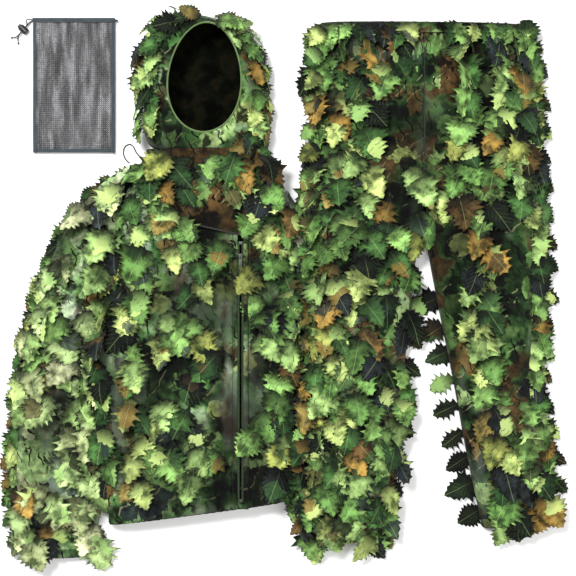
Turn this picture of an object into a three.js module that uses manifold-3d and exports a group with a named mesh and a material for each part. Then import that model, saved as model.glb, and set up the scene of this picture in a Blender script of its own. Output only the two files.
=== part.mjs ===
// A leafy camouflage suit laid out flat as its owner packs it: hooded jacket, trousers and a mesh storage bag.
// Millimetres. +X runs across the layout, +Y points to the hood, +Z is up from the ground at z = 0.
import * as THREE from "three";
import { mergeVertices } from "three/addons/utils/BufferGeometryUtils.js";
import Module from "manifold-3d";

const wasm = await Module();
wasm.setup();

// Cloth
const CLOTH = 2;
const GAP = 0.4;
const BAND = 3.2;
const ELASTIC = 1.2;
const LEAF = 1.6;
const LEAF_RAISE = 3.4;
const TOOTH_NARROW = 0.62;
const FRINGE_NARROW = 0.4;
const ROUNDNESS = 2.6;
const TORSO_ROUNDNESS = 4;

// Zip: a straight chain on the jacket's front
const ZIP_X = -94;
const ZIP_Z = 66;
const ZIP_FOOT_Y = -424;
const ZIP_TOP_Y = 92;
const TAPE_WIDTH = 13;
const TAPE_THICK = 1;
const TEETH_WIDTH = 2.6;
const TEETH_HEIGHT = 2.4;
const TEETH_SPLIT = 2.2;
const TEETH_REST = 0.3;
const STOP_LENGTH = 6;
const BOX_RAISE = 0.6;
const SLIDER_LENGTH = 11;
const SLIDER_WIDTH = 9.4;
const SLIDER_PLATE = 1.2;
const SLIDER_Y = 62;
const TAB_LENGTH = 24;
const TAB_WIDTH = 6.4;
const TAB_THICK = 1.6;
const TAB_HOLE_RADIUS = 1.3;
const TAB_EYE_HALF = 1.6;
const TAB_EYE_TOP = 0.6;
const TAB_EYE_FOOT = -2.2;
const TAB_HEAD = 1.7;
const TAB_REST = 0.35;
const BRIDGE_HALF = 4;
const BRIDGE_INNER_HALF = 2.8;
const BRIDGE_HEIGHT = 3.6;
const BRIDGE_CLEARANCE = 2.2;
const BRIDGE_WIDTH = 2;
const BRIDGE_SINK = 0.2;
const BRIDGE_ROUND = 2;
const POST_INSET = 0.5;

// Hood and its face opening
const NECK_Y = 276;
const FACE_CENTRE = new THREE.Vector2(-164, 415);
const FACE_HALF_WIDTH = 73;
const FACE_HALF_HEIGHT = 108;
const FACE_TILT = -0.06;
const FACE_RIM_Z = 84;
const FACE_RIM_RISE = 4;
const FACE_BINDING_RADIUS = 2.4;
const FACE_BINDING_GAP = 1.6;

// Storage bag
const BAG_LEFT = -516;
const BAG_RIGHT = -350;
const BAG_TOP = 546;
const BAG_FOOT = 274;
const BAG_HEIGHT = 13;
const MESH_THICK = 1.2;
const CASING_WIDTH = 9;
const CASING_HEIGHT = 4.4;
const CASING_WALL = 0.5;
const CASING_SPACING = 10.2;
const BINDING_WIDTH = 8;
const CORD_RADIUS = 1.25;
const CORD_SIDES = 8;
const CORD_TURN_STEPS = 6;
const TUNNEL_END = 12;

// Cord lock: a sprung barrel that lies on the ground beside the bag
const LOCK_CENTRE = new THREE.Vector3(-535, 523, 7);
const LOCK_TURN = 0.864;
const LOCK_RADIUS = 6.9;
const LOCK_LENGTH = 18;
const LOCK_WALL = 1.8;
const LOCK_SLOT = 3.4;
const LOCK_SLOT_HEIGHT = 6.4;
const LOCK_SLOT_CENTRE = 0.5;
const PLUNGER_RADIUS = 4.7;
const PLUNGER_FOOT = -3.6;
const PLUNGER_TOP = 13.4;
const PLUNGER_TRAVEL = 3;
const SPRING_RADIUS = 3.2;
const SPRING_WIRE = 0.35;
const SPRING_TURNS = 2.5;
const SPRING_CLEARANCE = 0.2;
const TURN_STEPS = 8;
const KNOT_RADIUS = 2.9;

const COLOURS = {
  print: "#4f7a35",
  printDark: "#33502a",
  leaf: "#6da04a",
  leafDark: "#3f6a33",
  leafRust: "#8a6a30",
  tape: "#2c3a26",
  zip: "#4a4f45",
  slate: "#38434a",
  mesh: "#67676a",
  black: "#16181a",
  steel: "#b9bcc0",
};

const suit = new THREE.Group();

function add(name, geometry, colour, roughness = 0.85, metalness = 0) {
  const material = new THREE.MeshStandardMaterial({ color: colour, roughness, metalness });
  const mesh = new THREE.Mesh(geometry, material);
  mesh.name = name;
  suit.add(mesh);
  return mesh;
}

// Turns vertex and face lists into a closed mesh whose faces point out.
function closedMesh(points, faces) {
  let volume = 0;
  for (const [a, b, c] of faces) {
    volume += points[a].dot(new THREE.Vector3().crossVectors(points[b], points[c]));
  }
  const index = faces.flatMap(([a, b, c]) => (volume > 0 ? [a, b, c] : [a, c, b]));
  return new THREE.BufferGeometry().setFromPoints(points).setIndex(index);
}

// Four-sided faces between loops of points that follow each other; wrap closes the last loop on the first.
function bridge(loops, count, wrapLoops, wrapRing) {
  const faces = [];
  const loopSteps = wrapLoops ? loops : loops - 1;
  const ringSteps = wrapRing ? count : count - 1;
  for (let i = 0; i < loopSteps; i++) {
    for (let j = 0; j < ringSteps; j++) {
      const a = i * count + j;
      const b = i * count + ((j + 1) % count);
      const c = ((i + 1) % loops) * count + ((j + 1) % count);
      const d = ((i + 1) % loops) * count + j;
      faces.push([a, b, c], [a, c, d]);
    }
  }
  return faces;
}

// Spreads the columns of an arch so that they lie closer together at its steep sides.
const eased = (u) => (1 - Math.cos(Math.PI * u)) / 2;

// A leaf strip is alternately narrow and wide, which gives its sides their teeth.
const toothWidth = (v, rows) => TOOTH_NARROW + (1 - TOOTH_NARROW) * (Math.round(v * rows) % 2);

// A panel of cloth: the outer face and the inner face, each a function of u and v, joined round the edge.
function panel(outer, inner, columns, rows) {
  const points = [];
  const count = columns + 1;
  for (const face of [outer, inner]) {
    for (let j = 0; j <= rows; j++) {
      for (let i = 0; i <= columns; i++) points.push(face(i / columns, j / rows));
    }
  }
  const half = points.length / 2;
  const top = bridge(rows + 1, count, false, false);
  const under = top.map(([a, b, c]) => [a + half, c + half, b + half]);
  const rim = [];
  for (let i = 0; i < columns; i++) rim.push([i, i + 1]);
  for (let j = 0; j < rows; j++) rim.push([j * count + columns, (j + 1) * count + columns]);
  for (let i = columns; i > 0; i--) rim.push([rows * count + i, rows * count + i - 1]);
  for (let j = rows; j > 0; j--) rim.push([j * count, (j - 1) * count]);
  const edge = rim.flatMap(([a, b]) => [
    [b, a, a + half],
    [b, a + half, b + half],
  ]);
  return closedMesh(points, [...top, ...under, ...edge]);
}

// A sewn tube lying flat. Its stations are two edge lines in plan, the height of the arch between them, how
// much of the arch each section spans (0 stops at the crown, 1 is whole) and the height that it is lifted to.
class Tube {
  constructor({ left, right, height, reach, liftLeft, liftRight, roundness = ROUNDNESS }) {
    const zero = left.map(() => 0);
    const one = left.map(() => 1);
    const curve = (points, third) =>
      new THREE.CatmullRomCurve3(points.map(([x, y], i) => new THREE.Vector3(x, y, third[i])));
    this.left = curve(left, liftLeft ?? zero);
    this.right = curve(right, liftRight ?? zero);
    this.crown = curve(
      height.map((h, i) => [h, i]),
      reach?.values ?? one,
    );
    this.mirrored = reach?.crownOnLeft ?? false;
    this.roundness = roundness;
  }

  // Plan position and the underside's height at u across and v along.
  plan(u, v, inset = 0) {
    const a = this.left.getPoint(v);
    const b = this.right.getPoint(v);
    const across = new THREE.Vector2(b.x - a.x, b.y - a.y);
    const shrink = inset / across.length();
    const t = shrink + u * (1 - 2 * shrink);
    const near = this.mirrored ? 1 - t : t;
    const lift = this.mirrored
      ? b.z + (a.z - b.z) * near ** 3
      : a.z + (b.z - a.z) * near ** 3;
    return new THREE.Vector3(a.x + across.x * t, a.y + across.y * t, Math.max(0, lift));
  }

  // The arch's height over the underside.
  arch(u, v, inset = 0) {
    const crown = this.crown.getPoint(v);
    const near = this.mirrored ? 1 - u : u;
    const w = Math.min(1, Math.abs(-1 + near * (1 + THREE.MathUtils.clamp(crown.z, 0, 1))));
    return (crown.x - inset) * (1 - w ** this.roundness) ** (1 / this.roundness);
  }

  top(u, v, inset = 0, base = CLOTH + GAP) {
    const p = this.plan(u, v, inset);
    return p.setZ(p.z + base + this.arch(u, v, inset + base));
  }

  frontPanel(u0, u1, v0, v1, columns, rows) {
    const face = (inset) => (u, v) => {
      const s = v0 + (v1 - v0) * v;
      const from = typeof u0 === "function" ? u0(s) : u0;
      const to = typeof u1 === "function" ? u1(s) : u1;
      return this.top(from + (to - from) * eased(u), s, inset);
    };
    return panel(face(0), face(CLOTH), columns, rows);
  }

  backPanel(v0, v1, columns, rows) {
    const face = (raise) => (u, v) => {
      const p = this.plan(u, v0 + (v1 - v0) * v);
      return p.setZ(p.z + raise);
    };
    return panel(face(CLOTH), face(0), columns, rows);
  }

  // A closed band round the tube between two stations.
  band(v0, v1, inset, thick, columns) {
    const points = [];
    const loop = (v, depth) => {
      for (let i = 0; i <= columns; i++) points.push(this.top(eased(i / columns), v, depth, depth));
      for (let i = columns - 1; i > 0; i--) {
        const p = this.plan(eased(i / columns), v, depth);
        points.push(p.setZ(p.z + depth));
      }
    };
    loop(v0, inset);
    loop(v1, inset);
    loop(v1, inset + thick);
    loop(v0, inset + thick);
    return closedMesh(points, bridge(4, columns * 2, true, true));
  }

  // A run of leaves on the outside of the tube, as one strip with toothed sides.
  leafStrip(centre, half, v0, v1, teeth) {
    const rows = teeth * 2;
    const face = (raise) => (u, v) => {
      const tooth = toothWidth(v, rows);
      const across = centre + (u * 2 - 1) * half * tooth;
      return this.top(across, v0 + (v1 - v0) * v, -raise);
    };
    return panel(face(LEAF_RAISE), face(LEAF_RAISE - LEAF), 2, rows);
  }
}

// A run of leaves that stands out sideways from a seam: a flat toothed outline along the seam's line.
function seamFringe(curve, v0, v1, width, side, teeth, z) {
  const near = [];
  const far = [];
  const steps = teeth * 2;
  for (let i = 0; i <= steps; i++) {
    const v = v0 + ((v1 - v0) * i) / steps;
    const p = curve.getPoint(v);
    const along = curve.getTangent(v);
    const out = new THREE.Vector2(along.y, -along.x).normalize().multiplyScalar(side);
    const reach = width * (FRINGE_NARROW + (1 - FRINGE_NARROW) * (i % 2));
    near.push(new THREE.Vector2(p.x + out.x * GAP * 2, p.y + out.y * GAP * 2));
    far.push(new THREE.Vector2(p.x + out.x * reach, p.y + out.y * reach));
  }
  const shape = new THREE.Shape([...near, ...far.reverse()]);
  return new THREE.ExtrudeGeometry(shape, { depth: LEAF * 2, bevelEnabled: false }).translate(0, 0, z);
}

function box(x0, x1, y0, y1, z0, z1) {
  const geometry = new THREE.BoxGeometry(x1 - x0, y1 - y0, z1 - z0);
  return geometry.translate((x0 + x1) / 2, (y0 + y1) / 2, (z0 + z1) / 2);
}

function solid(geometry) {
  const plain = geometry.clone();
  plain.deleteAttribute("normal");
  plain.deleteAttribute("uv");
  const merged = mergeVertices(plain, 1e-4);
  const mesh = new wasm.Mesh({
    numProp: 3,
    vertProperties: new Float32Array(merged.attributes.position.array),
    triVerts: new Uint32Array(merged.index.array),
  });
  return new wasm.Manifold(mesh);
}

function geometryOf(manifold) {
  const mesh = manifold.getMesh();
  const geometry = new THREE.BufferGeometry();
  geometry.setAttribute("position", new THREE.BufferAttribute(mesh.vertProperties, 3));
  return geometry.setIndex(new THREE.BufferAttribute(mesh.triVerts, 1));
}

const cut = (body, ...tools) => geometryOf(tools.reduce((s, t) => s.subtract(solid(t)), solid(body)));
const join = (...bodies) => geometryOf(bodies.map(solid).reduce((a, b) => a.add(b)));

// Jacket body: hem first, neck last; left is the wearer's right side.
const torso = new Tube({
  left: [[-352, -476], [-362, -344], [-382, -214], [-384, -114], [-368, -24], [-350, 76], [-336, 160],
    [-306, 216], [-262, 252]],
  right: [[-4, -428], [6, -324], [14, -204], [18, -114], [18, -24], [8, 76], [-14, 160],
    [-40, 212], [-66, 246]],
  height: [60, 64, 64, 64, 64, 64, 60, 48, 36],
  roundness: TORSO_ROUNDNESS,
});
const zipLine = (offset) => (v) => {
  const a = torso.left.getPoint(v);
  const b = torso.right.getPoint(v);
  return (ZIP_X + offset - a.x) / (b.x - a.x);
};
const HEM_V = 0.035;
const BAND_GAP = 0.004;
add("jacket_back_panel", torso.backPanel(HEM_V, 1, 3, 14), COLOURS.printDark);
add(
  "jacket_front_right_panel",
  torso.frontPanel(0, zipLine(-TAPE_WIDTH), HEM_V, 1, 8, 14),
  COLOURS.print,
);
add(
  "jacket_front_left_panel",
  torso.frontPanel(zipLine(TAPE_WIDTH), 1, HEM_V, 1, 6, 14),
  COLOURS.print,
);
add("jacket_hem_band", torso.band(0, HEM_V - BAND_GAP / 2, 0, BAND, 12), COLOURS.printDark);
add(
  "jacket_hem_elastic",
  torso.band(BAND_GAP, HEM_V - BAND_GAP * 1.5, BAND + GAP, ELASTIC, 12),
  COLOURS.black,
);

// Zip
const teethZ = ZIP_Z + TAPE_THICK + TEETH_REST;
function zipTape(side) {
  const x0 = ZIP_X + side * (TEETH_SPLIT / 2 + GAP);
  const x1 = ZIP_X + side * (TAPE_WIDTH - GAP);
  return box(Math.min(x0, x1), Math.max(x0, x1), ZIP_FOOT_Y, ZIP_TOP_Y, ZIP_Z, ZIP_Z + TAPE_THICK);
}
function zipTeeth(side) {
  const x0 = ZIP_X + (side * TEETH_SPLIT) / 2;
  const x1 = x0 + side * TEETH_WIDTH;
  const y0 = ZIP_FOOT_Y + STOP_LENGTH + GAP;
  const y1 = ZIP_TOP_Y - STOP_LENGTH - GAP;
  return box(Math.min(x0, x1), Math.max(x0, x1), y0, y1, teethZ, teethZ + TEETH_HEIGHT);
}
add("zip_tape_right", zipTape(-1), COLOURS.tape);
add("zip_tape_left", zipTape(1), COLOURS.tape);
add("zip_coil_right", zipTeeth(-1), COLOURS.zip, 0.5);
add("zip_coil_left", zipTeeth(1), COLOURS.zip, 0.5);
const teethHalf = TEETH_SPLIT / 2 + TEETH_WIDTH;
add(
  "zip_bottom_box",
  box(
    ZIP_X - teethHalf, ZIP_X + teethHalf,
    ZIP_FOOT_Y, ZIP_FOOT_Y + STOP_LENGTH,
    teethZ, teethZ + TEETH_HEIGHT + BOX_RAISE,
  ),
  COLOURS.zip, 0.4, 0.6,
);
add(
  "zip_top_stop",
  box(
    ZIP_X - teethHalf, ZIP_X + teethHalf,
    ZIP_TOP_Y - STOP_LENGTH, ZIP_TOP_Y,
    teethZ, teethZ + TEETH_HEIGHT,
  ),
  COLOURS.zip, 0.4, 0.6,
);

// The slider straddles both coils: a lower plate under the tapes, a post between the coils and an upper plate.
const sliderTop = teethZ + TEETH_HEIGHT + GAP;
const sliderFoot = ZIP_Z - GAP - SLIDER_PLATE;
function sliderPlate(z) {
  const half = SLIDER_WIDTH / 2;
  const nose = SLIDER_LENGTH / 2;
  const shape = new THREE.Shape();
  shape.moveTo(-half * 0.7, -nose);
  shape.lineTo(half * 0.7, -nose);
  shape.quadraticCurveTo(half * 0.8, 0, half, nose * 0.5);
  shape.quadraticCurveTo(half, nose, half * 0.6, nose);
  shape.lineTo(-half * 0.6, nose);
  shape.quadraticCurveTo(-half, nose, -half, nose * 0.5);
  shape.quadraticCurveTo(-half * 0.8, 0, -half * 0.7, -nose);
  const options = { depth: SLIDER_PLATE, bevelEnabled: false, curveSegments: 3 };
  return new THREE.ExtrudeGeometry(shape, options).translate(ZIP_X, SLIDER_Y, z);
}
const postHalf = TEETH_SPLIT / 2 - GAP;
const bridgeZ = sliderTop + SLIDER_PLATE;
function sliderBridge() {
  const shape = new THREE.Shape();
  const shoulder = BRIDGE_HEIGHT - BRIDGE_ROUND;
  shape.moveTo(-BRIDGE_HALF, -BRIDGE_SINK);
  shape.lineTo(-BRIDGE_HALF, shoulder);
  shape.quadraticCurveTo(-BRIDGE_HALF, BRIDGE_HEIGHT, -BRIDGE_HALF + BRIDGE_ROUND, BRIDGE_HEIGHT);
  shape.lineTo(BRIDGE_HALF - BRIDGE_ROUND, BRIDGE_HEIGHT);
  shape.quadraticCurveTo(BRIDGE_HALF, BRIDGE_HEIGHT, BRIDGE_HALF, shoulder);
  shape.lineTo(BRIDGE_HALF, -BRIDGE_SINK);
  shape.lineTo(BRIDGE_INNER_HALF, -BRIDGE_SINK);
  shape.lineTo(BRIDGE_INNER_HALF, BRIDGE_CLEARANCE);
  shape.lineTo(-BRIDGE_INNER_HALF, BRIDGE_CLEARANCE);
  shape.lineTo(-BRIDGE_INNER_HALF, -BRIDGE_SINK);
  const options = { depth: BRIDGE_WIDTH, bevelEnabled: false, curveSegments: 3 };
  const geometry = new THREE.ExtrudeGeometry(shape, options).rotateX(Math.PI / 2).rotateZ(Math.PI / 2);
  return geometry.translate(ZIP_X - BRIDGE_WIDTH / 2, SLIDER_Y, bridgeZ);
}
add(
  "zip_slider",
  join(
    sliderPlate(sliderTop),
    sliderPlate(sliderFoot),
    box(
      ZIP_X - postHalf, ZIP_X + postHalf,
      SLIDER_Y + POST_INSET, SLIDER_Y + SLIDER_LENGTH / 2 - POST_INSET,
      sliderFoot + BRIDGE_SINK, sliderTop + BRIDGE_SINK,
    ),
    sliderBridge(),
  ),
  COLOURS.zip, 0.4, 0.7,
);

// The pull tab hangs on the slider's bridge by its eye and lies along the coils.
function pullTab() {
  const half = TAB_WIDTH / 2;
  const shape = new THREE.Shape();
  shape.moveTo(-half, TAB_HEAD);
  shape.lineTo(-half, -TAB_LENGTH + half);
  shape.absarc(0, -TAB_LENGTH + half, half, Math.PI, 2 * Math.PI, false);
  shape.lineTo(half, TAB_HEAD);
  shape.lineTo(-half, TAB_HEAD);
  const eye = new THREE.Path();
  eye.moveTo(-TAB_EYE_HALF, TAB_EYE_TOP);
  eye.lineTo(TAB_EYE_HALF, TAB_EYE_TOP);
  eye.lineTo(TAB_EYE_HALF, TAB_EYE_FOOT);
  eye.lineTo(-TAB_EYE_HALF, TAB_EYE_FOOT);
  eye.lineTo(-TAB_EYE_HALF, TAB_EYE_TOP);
  shape.holes.push(eye);
  const hole = new THREE.Path();
  hole.absarc(0, -TAB_LENGTH + half, TAB_HOLE_RADIUS, 0, 2 * Math.PI, true);
  shape.holes.push(hole);
  return new THREE.ExtrudeGeometry(shape, { depth: TAB_THICK, bevelEnabled: false, curveSegments: 6 });
}
add("zip_pull_tab", pullTab().translate(ZIP_X, SLIDER_Y + TAB_EYE_FOOT, bridgeZ + TAB_REST), COLOURS.zip, 0.4, 0.7);

// Sleeves: shoulder first, cuff last.
const CUFF_V = 0.955;
const sleeves = {
  right: new Tube({
    left: [[-318, 250], [-392, 200], [-450, 118], [-494, 16], [-524, -106], [-542, -226], [-549, -326],
      [-547, -424], [-532, -500], [-504, -546]],
    right: [[-378, -34], [-386, -74], [-396, -124], [-398, -194], [-396, -274], [-382, -334], [-380, -394],
      [-390, -440], [-396, -492], [-402, -542]],
    height: [46, 48, 50, 50, 48, 46, 44, 42, 34, 26],
  }),
  left: new Tube({
    left: [[30, -44], [30, -84], [30, -128], [30, -184], [32, -244], [32, -304], [26, -364],
      [24, -424], [36, -480], [62, -516]],
    right: [[2, 190], [36, 132], [72, 56], [106, -34], [136, -134], [162, -234], [182, -334],
      [194, -414], [190, -474], [164, -512]],
    height: [38, 36, 32, 30, 30, 30, 30, 30, 26, 22],
  }),
};
for (const [side, sleeve] of Object.entries(sleeves)) {
  add(`sleeve_${side}_back_panel`, sleeve.backPanel(0, CUFF_V, 3, 12), COLOURS.printDark);
  add(`sleeve_${side}_front_panel`, sleeve.frontPanel(0, 1, 0, CUFF_V, 8, 12), COLOURS.print);
  add(`sleeve_${side}_cuff_band`, sleeve.band(CUFF_V + BAND_GAP, 1, 0, BAND, 10), COLOURS.printDark);
}

// Hood. The face opening is an egg whose blunt end is the chin.
function faceOpening(angle, shrink = 0) {
  const c = Math.cos(angle);
  const s = Math.sin(angle);
  const x = c * (FACE_HALF_WIDTH + shrink) * (1 - 0.1 * s);
  const y = s * (FACE_HALF_HEIGHT + shrink);
  const turned = new THREE.Vector2(x, y).rotateAround(new THREE.Vector2(), FACE_TILT);
  return turned.add(FACE_CENTRE);
}
const hoodOutline = new THREE.CatmullRomCurve3(
  [[-46, 380, 0], [-60, 446, 0], [-80, 496, 0], [-114, 530, 0], [-160, 544, 0], [-206, 545, 0],
    [-250, 527, 0], [-281, 488, 0], [-292, 444, 0], [-290, 396, 0], [-290, 344, 0], [-286, 298, 0],
    [-256, NECK_Y, 46], [-216, NECK_Y, 68], [-160, NECK_Y, 74], [-104, NECK_Y, 68], [-66, NECK_Y, 46],
    [-46, 300, 0]].map((p) => new THREE.Vector3(...p)),
  true,
);
const HOOD_FIRST_ANGLE = -0.37;
function hoodFace(inset) {
  return (u, v) => {
    const edge = hoodOutline.getPoint(u);
    const angle = HOOD_FIRST_ANGLE + u * 2 * Math.PI;
    const rim = faceOpening(angle);
    const centre = new THREE.Vector2(edge.x, edge.y).sub(FACE_CENTRE);
    const outline = centre.multiplyScalar(1 - inset / centre.length()).add(FACE_CENTRE);
    const low = Math.max(CLOTH + GAP, edge.z + CLOTH + GAP - inset);
    const high = FACE_RIM_Z - inset + FACE_RIM_RISE * Math.sin(angle);
    const fall = (1 - v ** ROUNDNESS) ** (1 / ROUNDNESS);
    return new THREE.Vector3(
      rim.x + (outline.x - rim.x) * v,
      rim.y + (outline.y - rim.y) * v,
      low + (high - low) * fall,
    );
  };
}
function hoodPanel(columns, rows) {
  const points = [];
  const outer = hoodFace(0);
  const inner = hoodFace(CLOTH);
  for (let j = 0; j <= rows; j++) {
    for (let i = 0; i < columns; i++) points.push(outer(i / columns, j / rows));
  }
  for (let j = rows; j >= 0; j--) {
    for (let i = 0; i < columns; i++) points.push(inner(i / columns, j / rows));
  }
  return closedMesh(points, bridge((rows + 1) * 2, columns, true, true));
}
add("hood_front_panel", hoodPanel(28, 5), COLOURS.print);

function hoodBack() {
  const shape = new THREE.Shape(hoodOutline.getPoints(30).slice(0, -1).map((p) => new THREE.Vector2(p.x, p.y)));
  return new THREE.ExtrudeGeometry(shape, { depth: CLOTH, bevelEnabled: false });
}
add("hood_back_panel", hoodBack(), COLOURS.printDark);

function faceBinding(columns, sides) {
  const points = [];
  for (let i = 0; i < columns; i++) {
    const angle = (i / columns) * 2 * Math.PI;
    const rim = faceOpening(angle, -FACE_BINDING_RADIUS - FACE_BINDING_GAP);
    const out = rim.clone().sub(FACE_CENTRE).normalize();
    const z = FACE_RIM_Z - FACE_BINDING_RADIUS + FACE_RIM_RISE * Math.sin(angle);
    for (let j = 0; j < sides; j++) {
      const turn = (j / sides) * 2 * Math.PI;
      const r = FACE_BINDING_RADIUS * Math.cos(turn);
      const rise = FACE_BINDING_RADIUS * Math.sin(turn);
      points.push(new THREE.Vector3(rim.x + out.x * r, rim.y + out.y * r, z + rise));
    }
  }
  return closedMesh(points, bridge(columns, sides, true, true));
}
add("face_opening_binding", faceBinding(28, 6), COLOURS.black);

// Bib: the hood's skirt over the chest, neck first, free lower edge last.
const bib = new Tube({
  left: [[-286, NECK_Y - 2], [-278, 238], [-256, 196], [-232, 160], [-206, 130]],
  right: [[-44, NECK_Y - 2], [-34, 232], [-38, 176], [-50, 128], [-74, 100]],
  height: [77, 76, 75, 74, 73],
  roundness: TORSO_ROUNDNESS,
});
const bibFoot = new THREE.CatmullRomCurve3([3, 44, 62, 68, 69].map((z, i) => new THREE.Vector3(z, i, 0)));
function bibFace(inset) {
  return (u, v) => {
    const p = bib.plan(u, v, inset);
    const w = Math.abs(u * 2 - 1);
    const crown = bib.crown.getPoint(v).x - inset;
    const low = Math.min(bibFoot.getPoint(v).x, crown - 1);
    return p.setZ(low + (crown - low) * (1 - w ** bib.roundness) ** (1 / bib.roundness));
  };
}
add("hood_bib_panel", panel(bibFace(0), bibFace(CLOTH), 12, 8), COLOURS.print);

// Trousers: waist first, ankle last. Each leg reaches from its outer seam to the centre seam, then closes into
// a tube of its own below the crotch. The leg next to the jacket rests on the jacket's left sleeve.
const hipReach = [0, 0, 0, 0.1, 0.75, 1, 1, 1, 1, 1, 1, 1];
const legHeight = [36, 44, 50, 52, 50, 48, 46, 44, 44, 44, 42, 32];
const legs = {
  left: new Tube({
    left: [[68, 532], [60, 452], [56, 352], [54, 246], [54, 160], [56, 76], [58, -8],
      [56, -104], [50, -208], [40, -304], [32, -404], [40, -486]],
    right: [[269.7, 528], [269.7, 448], [269.7, 348], [269.7, 246], [268, 154], [262, 86], [252, -4],
      [242, -104], [230, -200], [216, -304], [200, -400], [180, -482]],
    height: legHeight,
    reach: { values: hipReach, crownOnLeft: false },
    liftLeft: [0, 0, 0, 0, 14, 34, 38, 38, 38, 38, 38, 38],
    liftRight: [0, 0, 0, 0, 0, 0, 0, 0, 8, 24, 38, 38],
  }),
  right: new Tube({
    left: [[270.3, 528], [270.3, 448], [270.3, 348], [270.3, 246], [276, 154], [282, 86], [298, -4],
      [318, -104], [338, -204], [356, -304], [376, -404], [394, -484]],
    right: [[472, 528], [482, 456], [486, 356], [490, 246], [494, 160], [496, 76], [496, -14],
      [494, -104], [490, -200], [506, -304], [526, -400], [536, -480]],
    height: legHeight,
    reach: { values: hipReach, crownOnLeft: true },
  }),
};
const WAIST_V = 0.03;
const WAIST_CASING_END = 0.6;
const WAIST_ELASTIC_INSET = 0.05;
const ANKLE_V = 0.975;
for (const [side, leg] of Object.entries(legs)) {
  add(`trouser_${side}_back_panel`, leg.backPanel(WAIST_V, ANKLE_V, 5, 16), COLOURS.printDark);
  add(`trouser_${side}_front_panel`, leg.frontPanel(0, 1, WAIST_V, ANKLE_V, 8, 16), COLOURS.print);
  add(`trouser_${side}_ankle_band`, leg.band(ANKLE_V + BAND_GAP, 1, 0, BAND, 10), COLOURS.printDark);
}
const waist = new Tube({
  left: [[68, 532], [65, 498]],
  right: [[472, 528], [476, 498]],
  height: [36, 40],
});
add("waistband_casing", waist.band(0, WAIST_CASING_END, 0, BAND, 16), COLOURS.printDark);
add(
  "waist_elastic",
  waist.band(WAIST_ELASTIC_INSET, WAIST_CASING_END - WAIST_ELASTIC_INSET, BAND + GAP * 2, ELASTIC, 16),
  COLOURS.black,
);

// Leaf runs sewn on the outside of the tubes: across, half width, first and last station, teeth.
const leafRuns = {
  jacket_leaves_right_side: [torso, 0.1, 0.075, 0.06, 0.84, 9],
  jacket_leaves_right_chest: [torso, 0.3, 0.075, 0.06, 0.66, 8],
  jacket_leaves_left_side: [torso, 0.88, 0.07, 0.06, 0.72, 8],
  sleeve_right_leaves_outer: [sleeves.right, 0.2, 0.13, 0.04, 0.93, 9],
  sleeve_left_leaves: [sleeves.left, 0.4, 0.2, 0.06, 0.93, 8],
  trouser_left_leaves_outer: [legs.left, 0.17, 0.11, 0.05, 0.96, 11],
  trouser_right_leaves_outer: [legs.right, 0.56, 0.13, 0.05, 0.96, 11],
};
for (const [name, [tube, ...run]] of Object.entries(leafRuns)) {
  add(name, tube.leafStrip(...run), COLOURS.leaf);
}

// Leaf runs round the hood.
function ringStrip(face, u0, u1, centre, half, teeth) {
  const rows = teeth * 2;
  const side = (raise) => (u, v) => {
    const tooth = toothWidth(v, rows);
    return face(-raise)(u0 + (u1 - u0) * v, centre + (u * 2 - 1) * half * tooth);
  };
  return panel(side(LEAF_RAISE), side(LEAF_RAISE - LEAF), 2, rows);
}
add("hood_leaves_crown", ringStrip(hoodFace, 0.13, 0.38, 0.62, 0.26, 5), COLOURS.leaf);
add("hood_leaves_right", ringStrip(hoodFace, 0.41, 0.63, 0.62, 0.26, 5), COLOURS.leaf);

// Leaf runs that stand out sideways from the seams.
const FRINGE_Z = 5;
const LIFTED_FRINGE_Z = 44;
add(
  "sleeve_right_seam_leaves",
  seamFringe(sleeves.right.left, 0.08, 0.94, 22, 1, 12, FRINGE_Z),
  COLOURS.leafDark,
);
add(
  "trouser_left_seam_leaves",
  seamFringe(legs.left.left, 0.46, 0.97, 24, 1, 8, LIFTED_FRINGE_Z),
  COLOURS.leafDark,
);
add(
  "trouser_right_seam_leaves",
  seamFringe(legs.right.right, 0.05, 0.97, 42, -1, 14, FRINGE_Z),
  COLOURS.leafDark,
);
add(
  "trouser_right_inseam_leaves",
  seamFringe(legs.right.left, 0.5, 0.97, 26, 1, 8, FRINGE_Z),
  COLOURS.leafRust,
);

// Storage bag: two sheets of mesh bound along three sides, with a drawcord casing round the mouth.
const bagInside = [BAG_LEFT + BINDING_WIDTH + GAP, BAG_RIGHT - BINDING_WIDTH - GAP];
const bagSheetY = [BAG_FOOT + BINDING_WIDTH + GAP, BAG_TOP - CASING_WIDTH - GAP];
add("bag_back_mesh", box(...bagInside, ...bagSheetY, 0, MESH_THICK), COLOURS.mesh);
add("bag_front_mesh", box(...bagInside, ...bagSheetY, BAG_HEIGHT - MESH_THICK, BAG_HEIGHT), COLOURS.mesh);
add(
  "bag_left_binding",
  box(BAG_LEFT, BAG_LEFT + BINDING_WIDTH, BAG_FOOT, bagSheetY[1], 0, BAG_HEIGHT),
  COLOURS.slate,
);
add(
  "bag_right_binding",
  box(BAG_RIGHT - BINDING_WIDTH, BAG_RIGHT, BAG_FOOT, bagSheetY[1], 0, BAG_HEIGHT),
  COLOURS.slate,
);
add(
  "bag_foot_binding",
  box(...bagInside, BAG_FOOT, BAG_FOOT + BINDING_WIDTH, 0, BAG_HEIGHT),
  COLOURS.slate,
);
const casingY = BAG_TOP - CASING_WIDTH / 2;
const CASING_BACK_Z = CASING_HEIGHT / 2;
const CASING_FRONT_Z = CASING_BACK_Z + CASING_SPACING;
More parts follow.
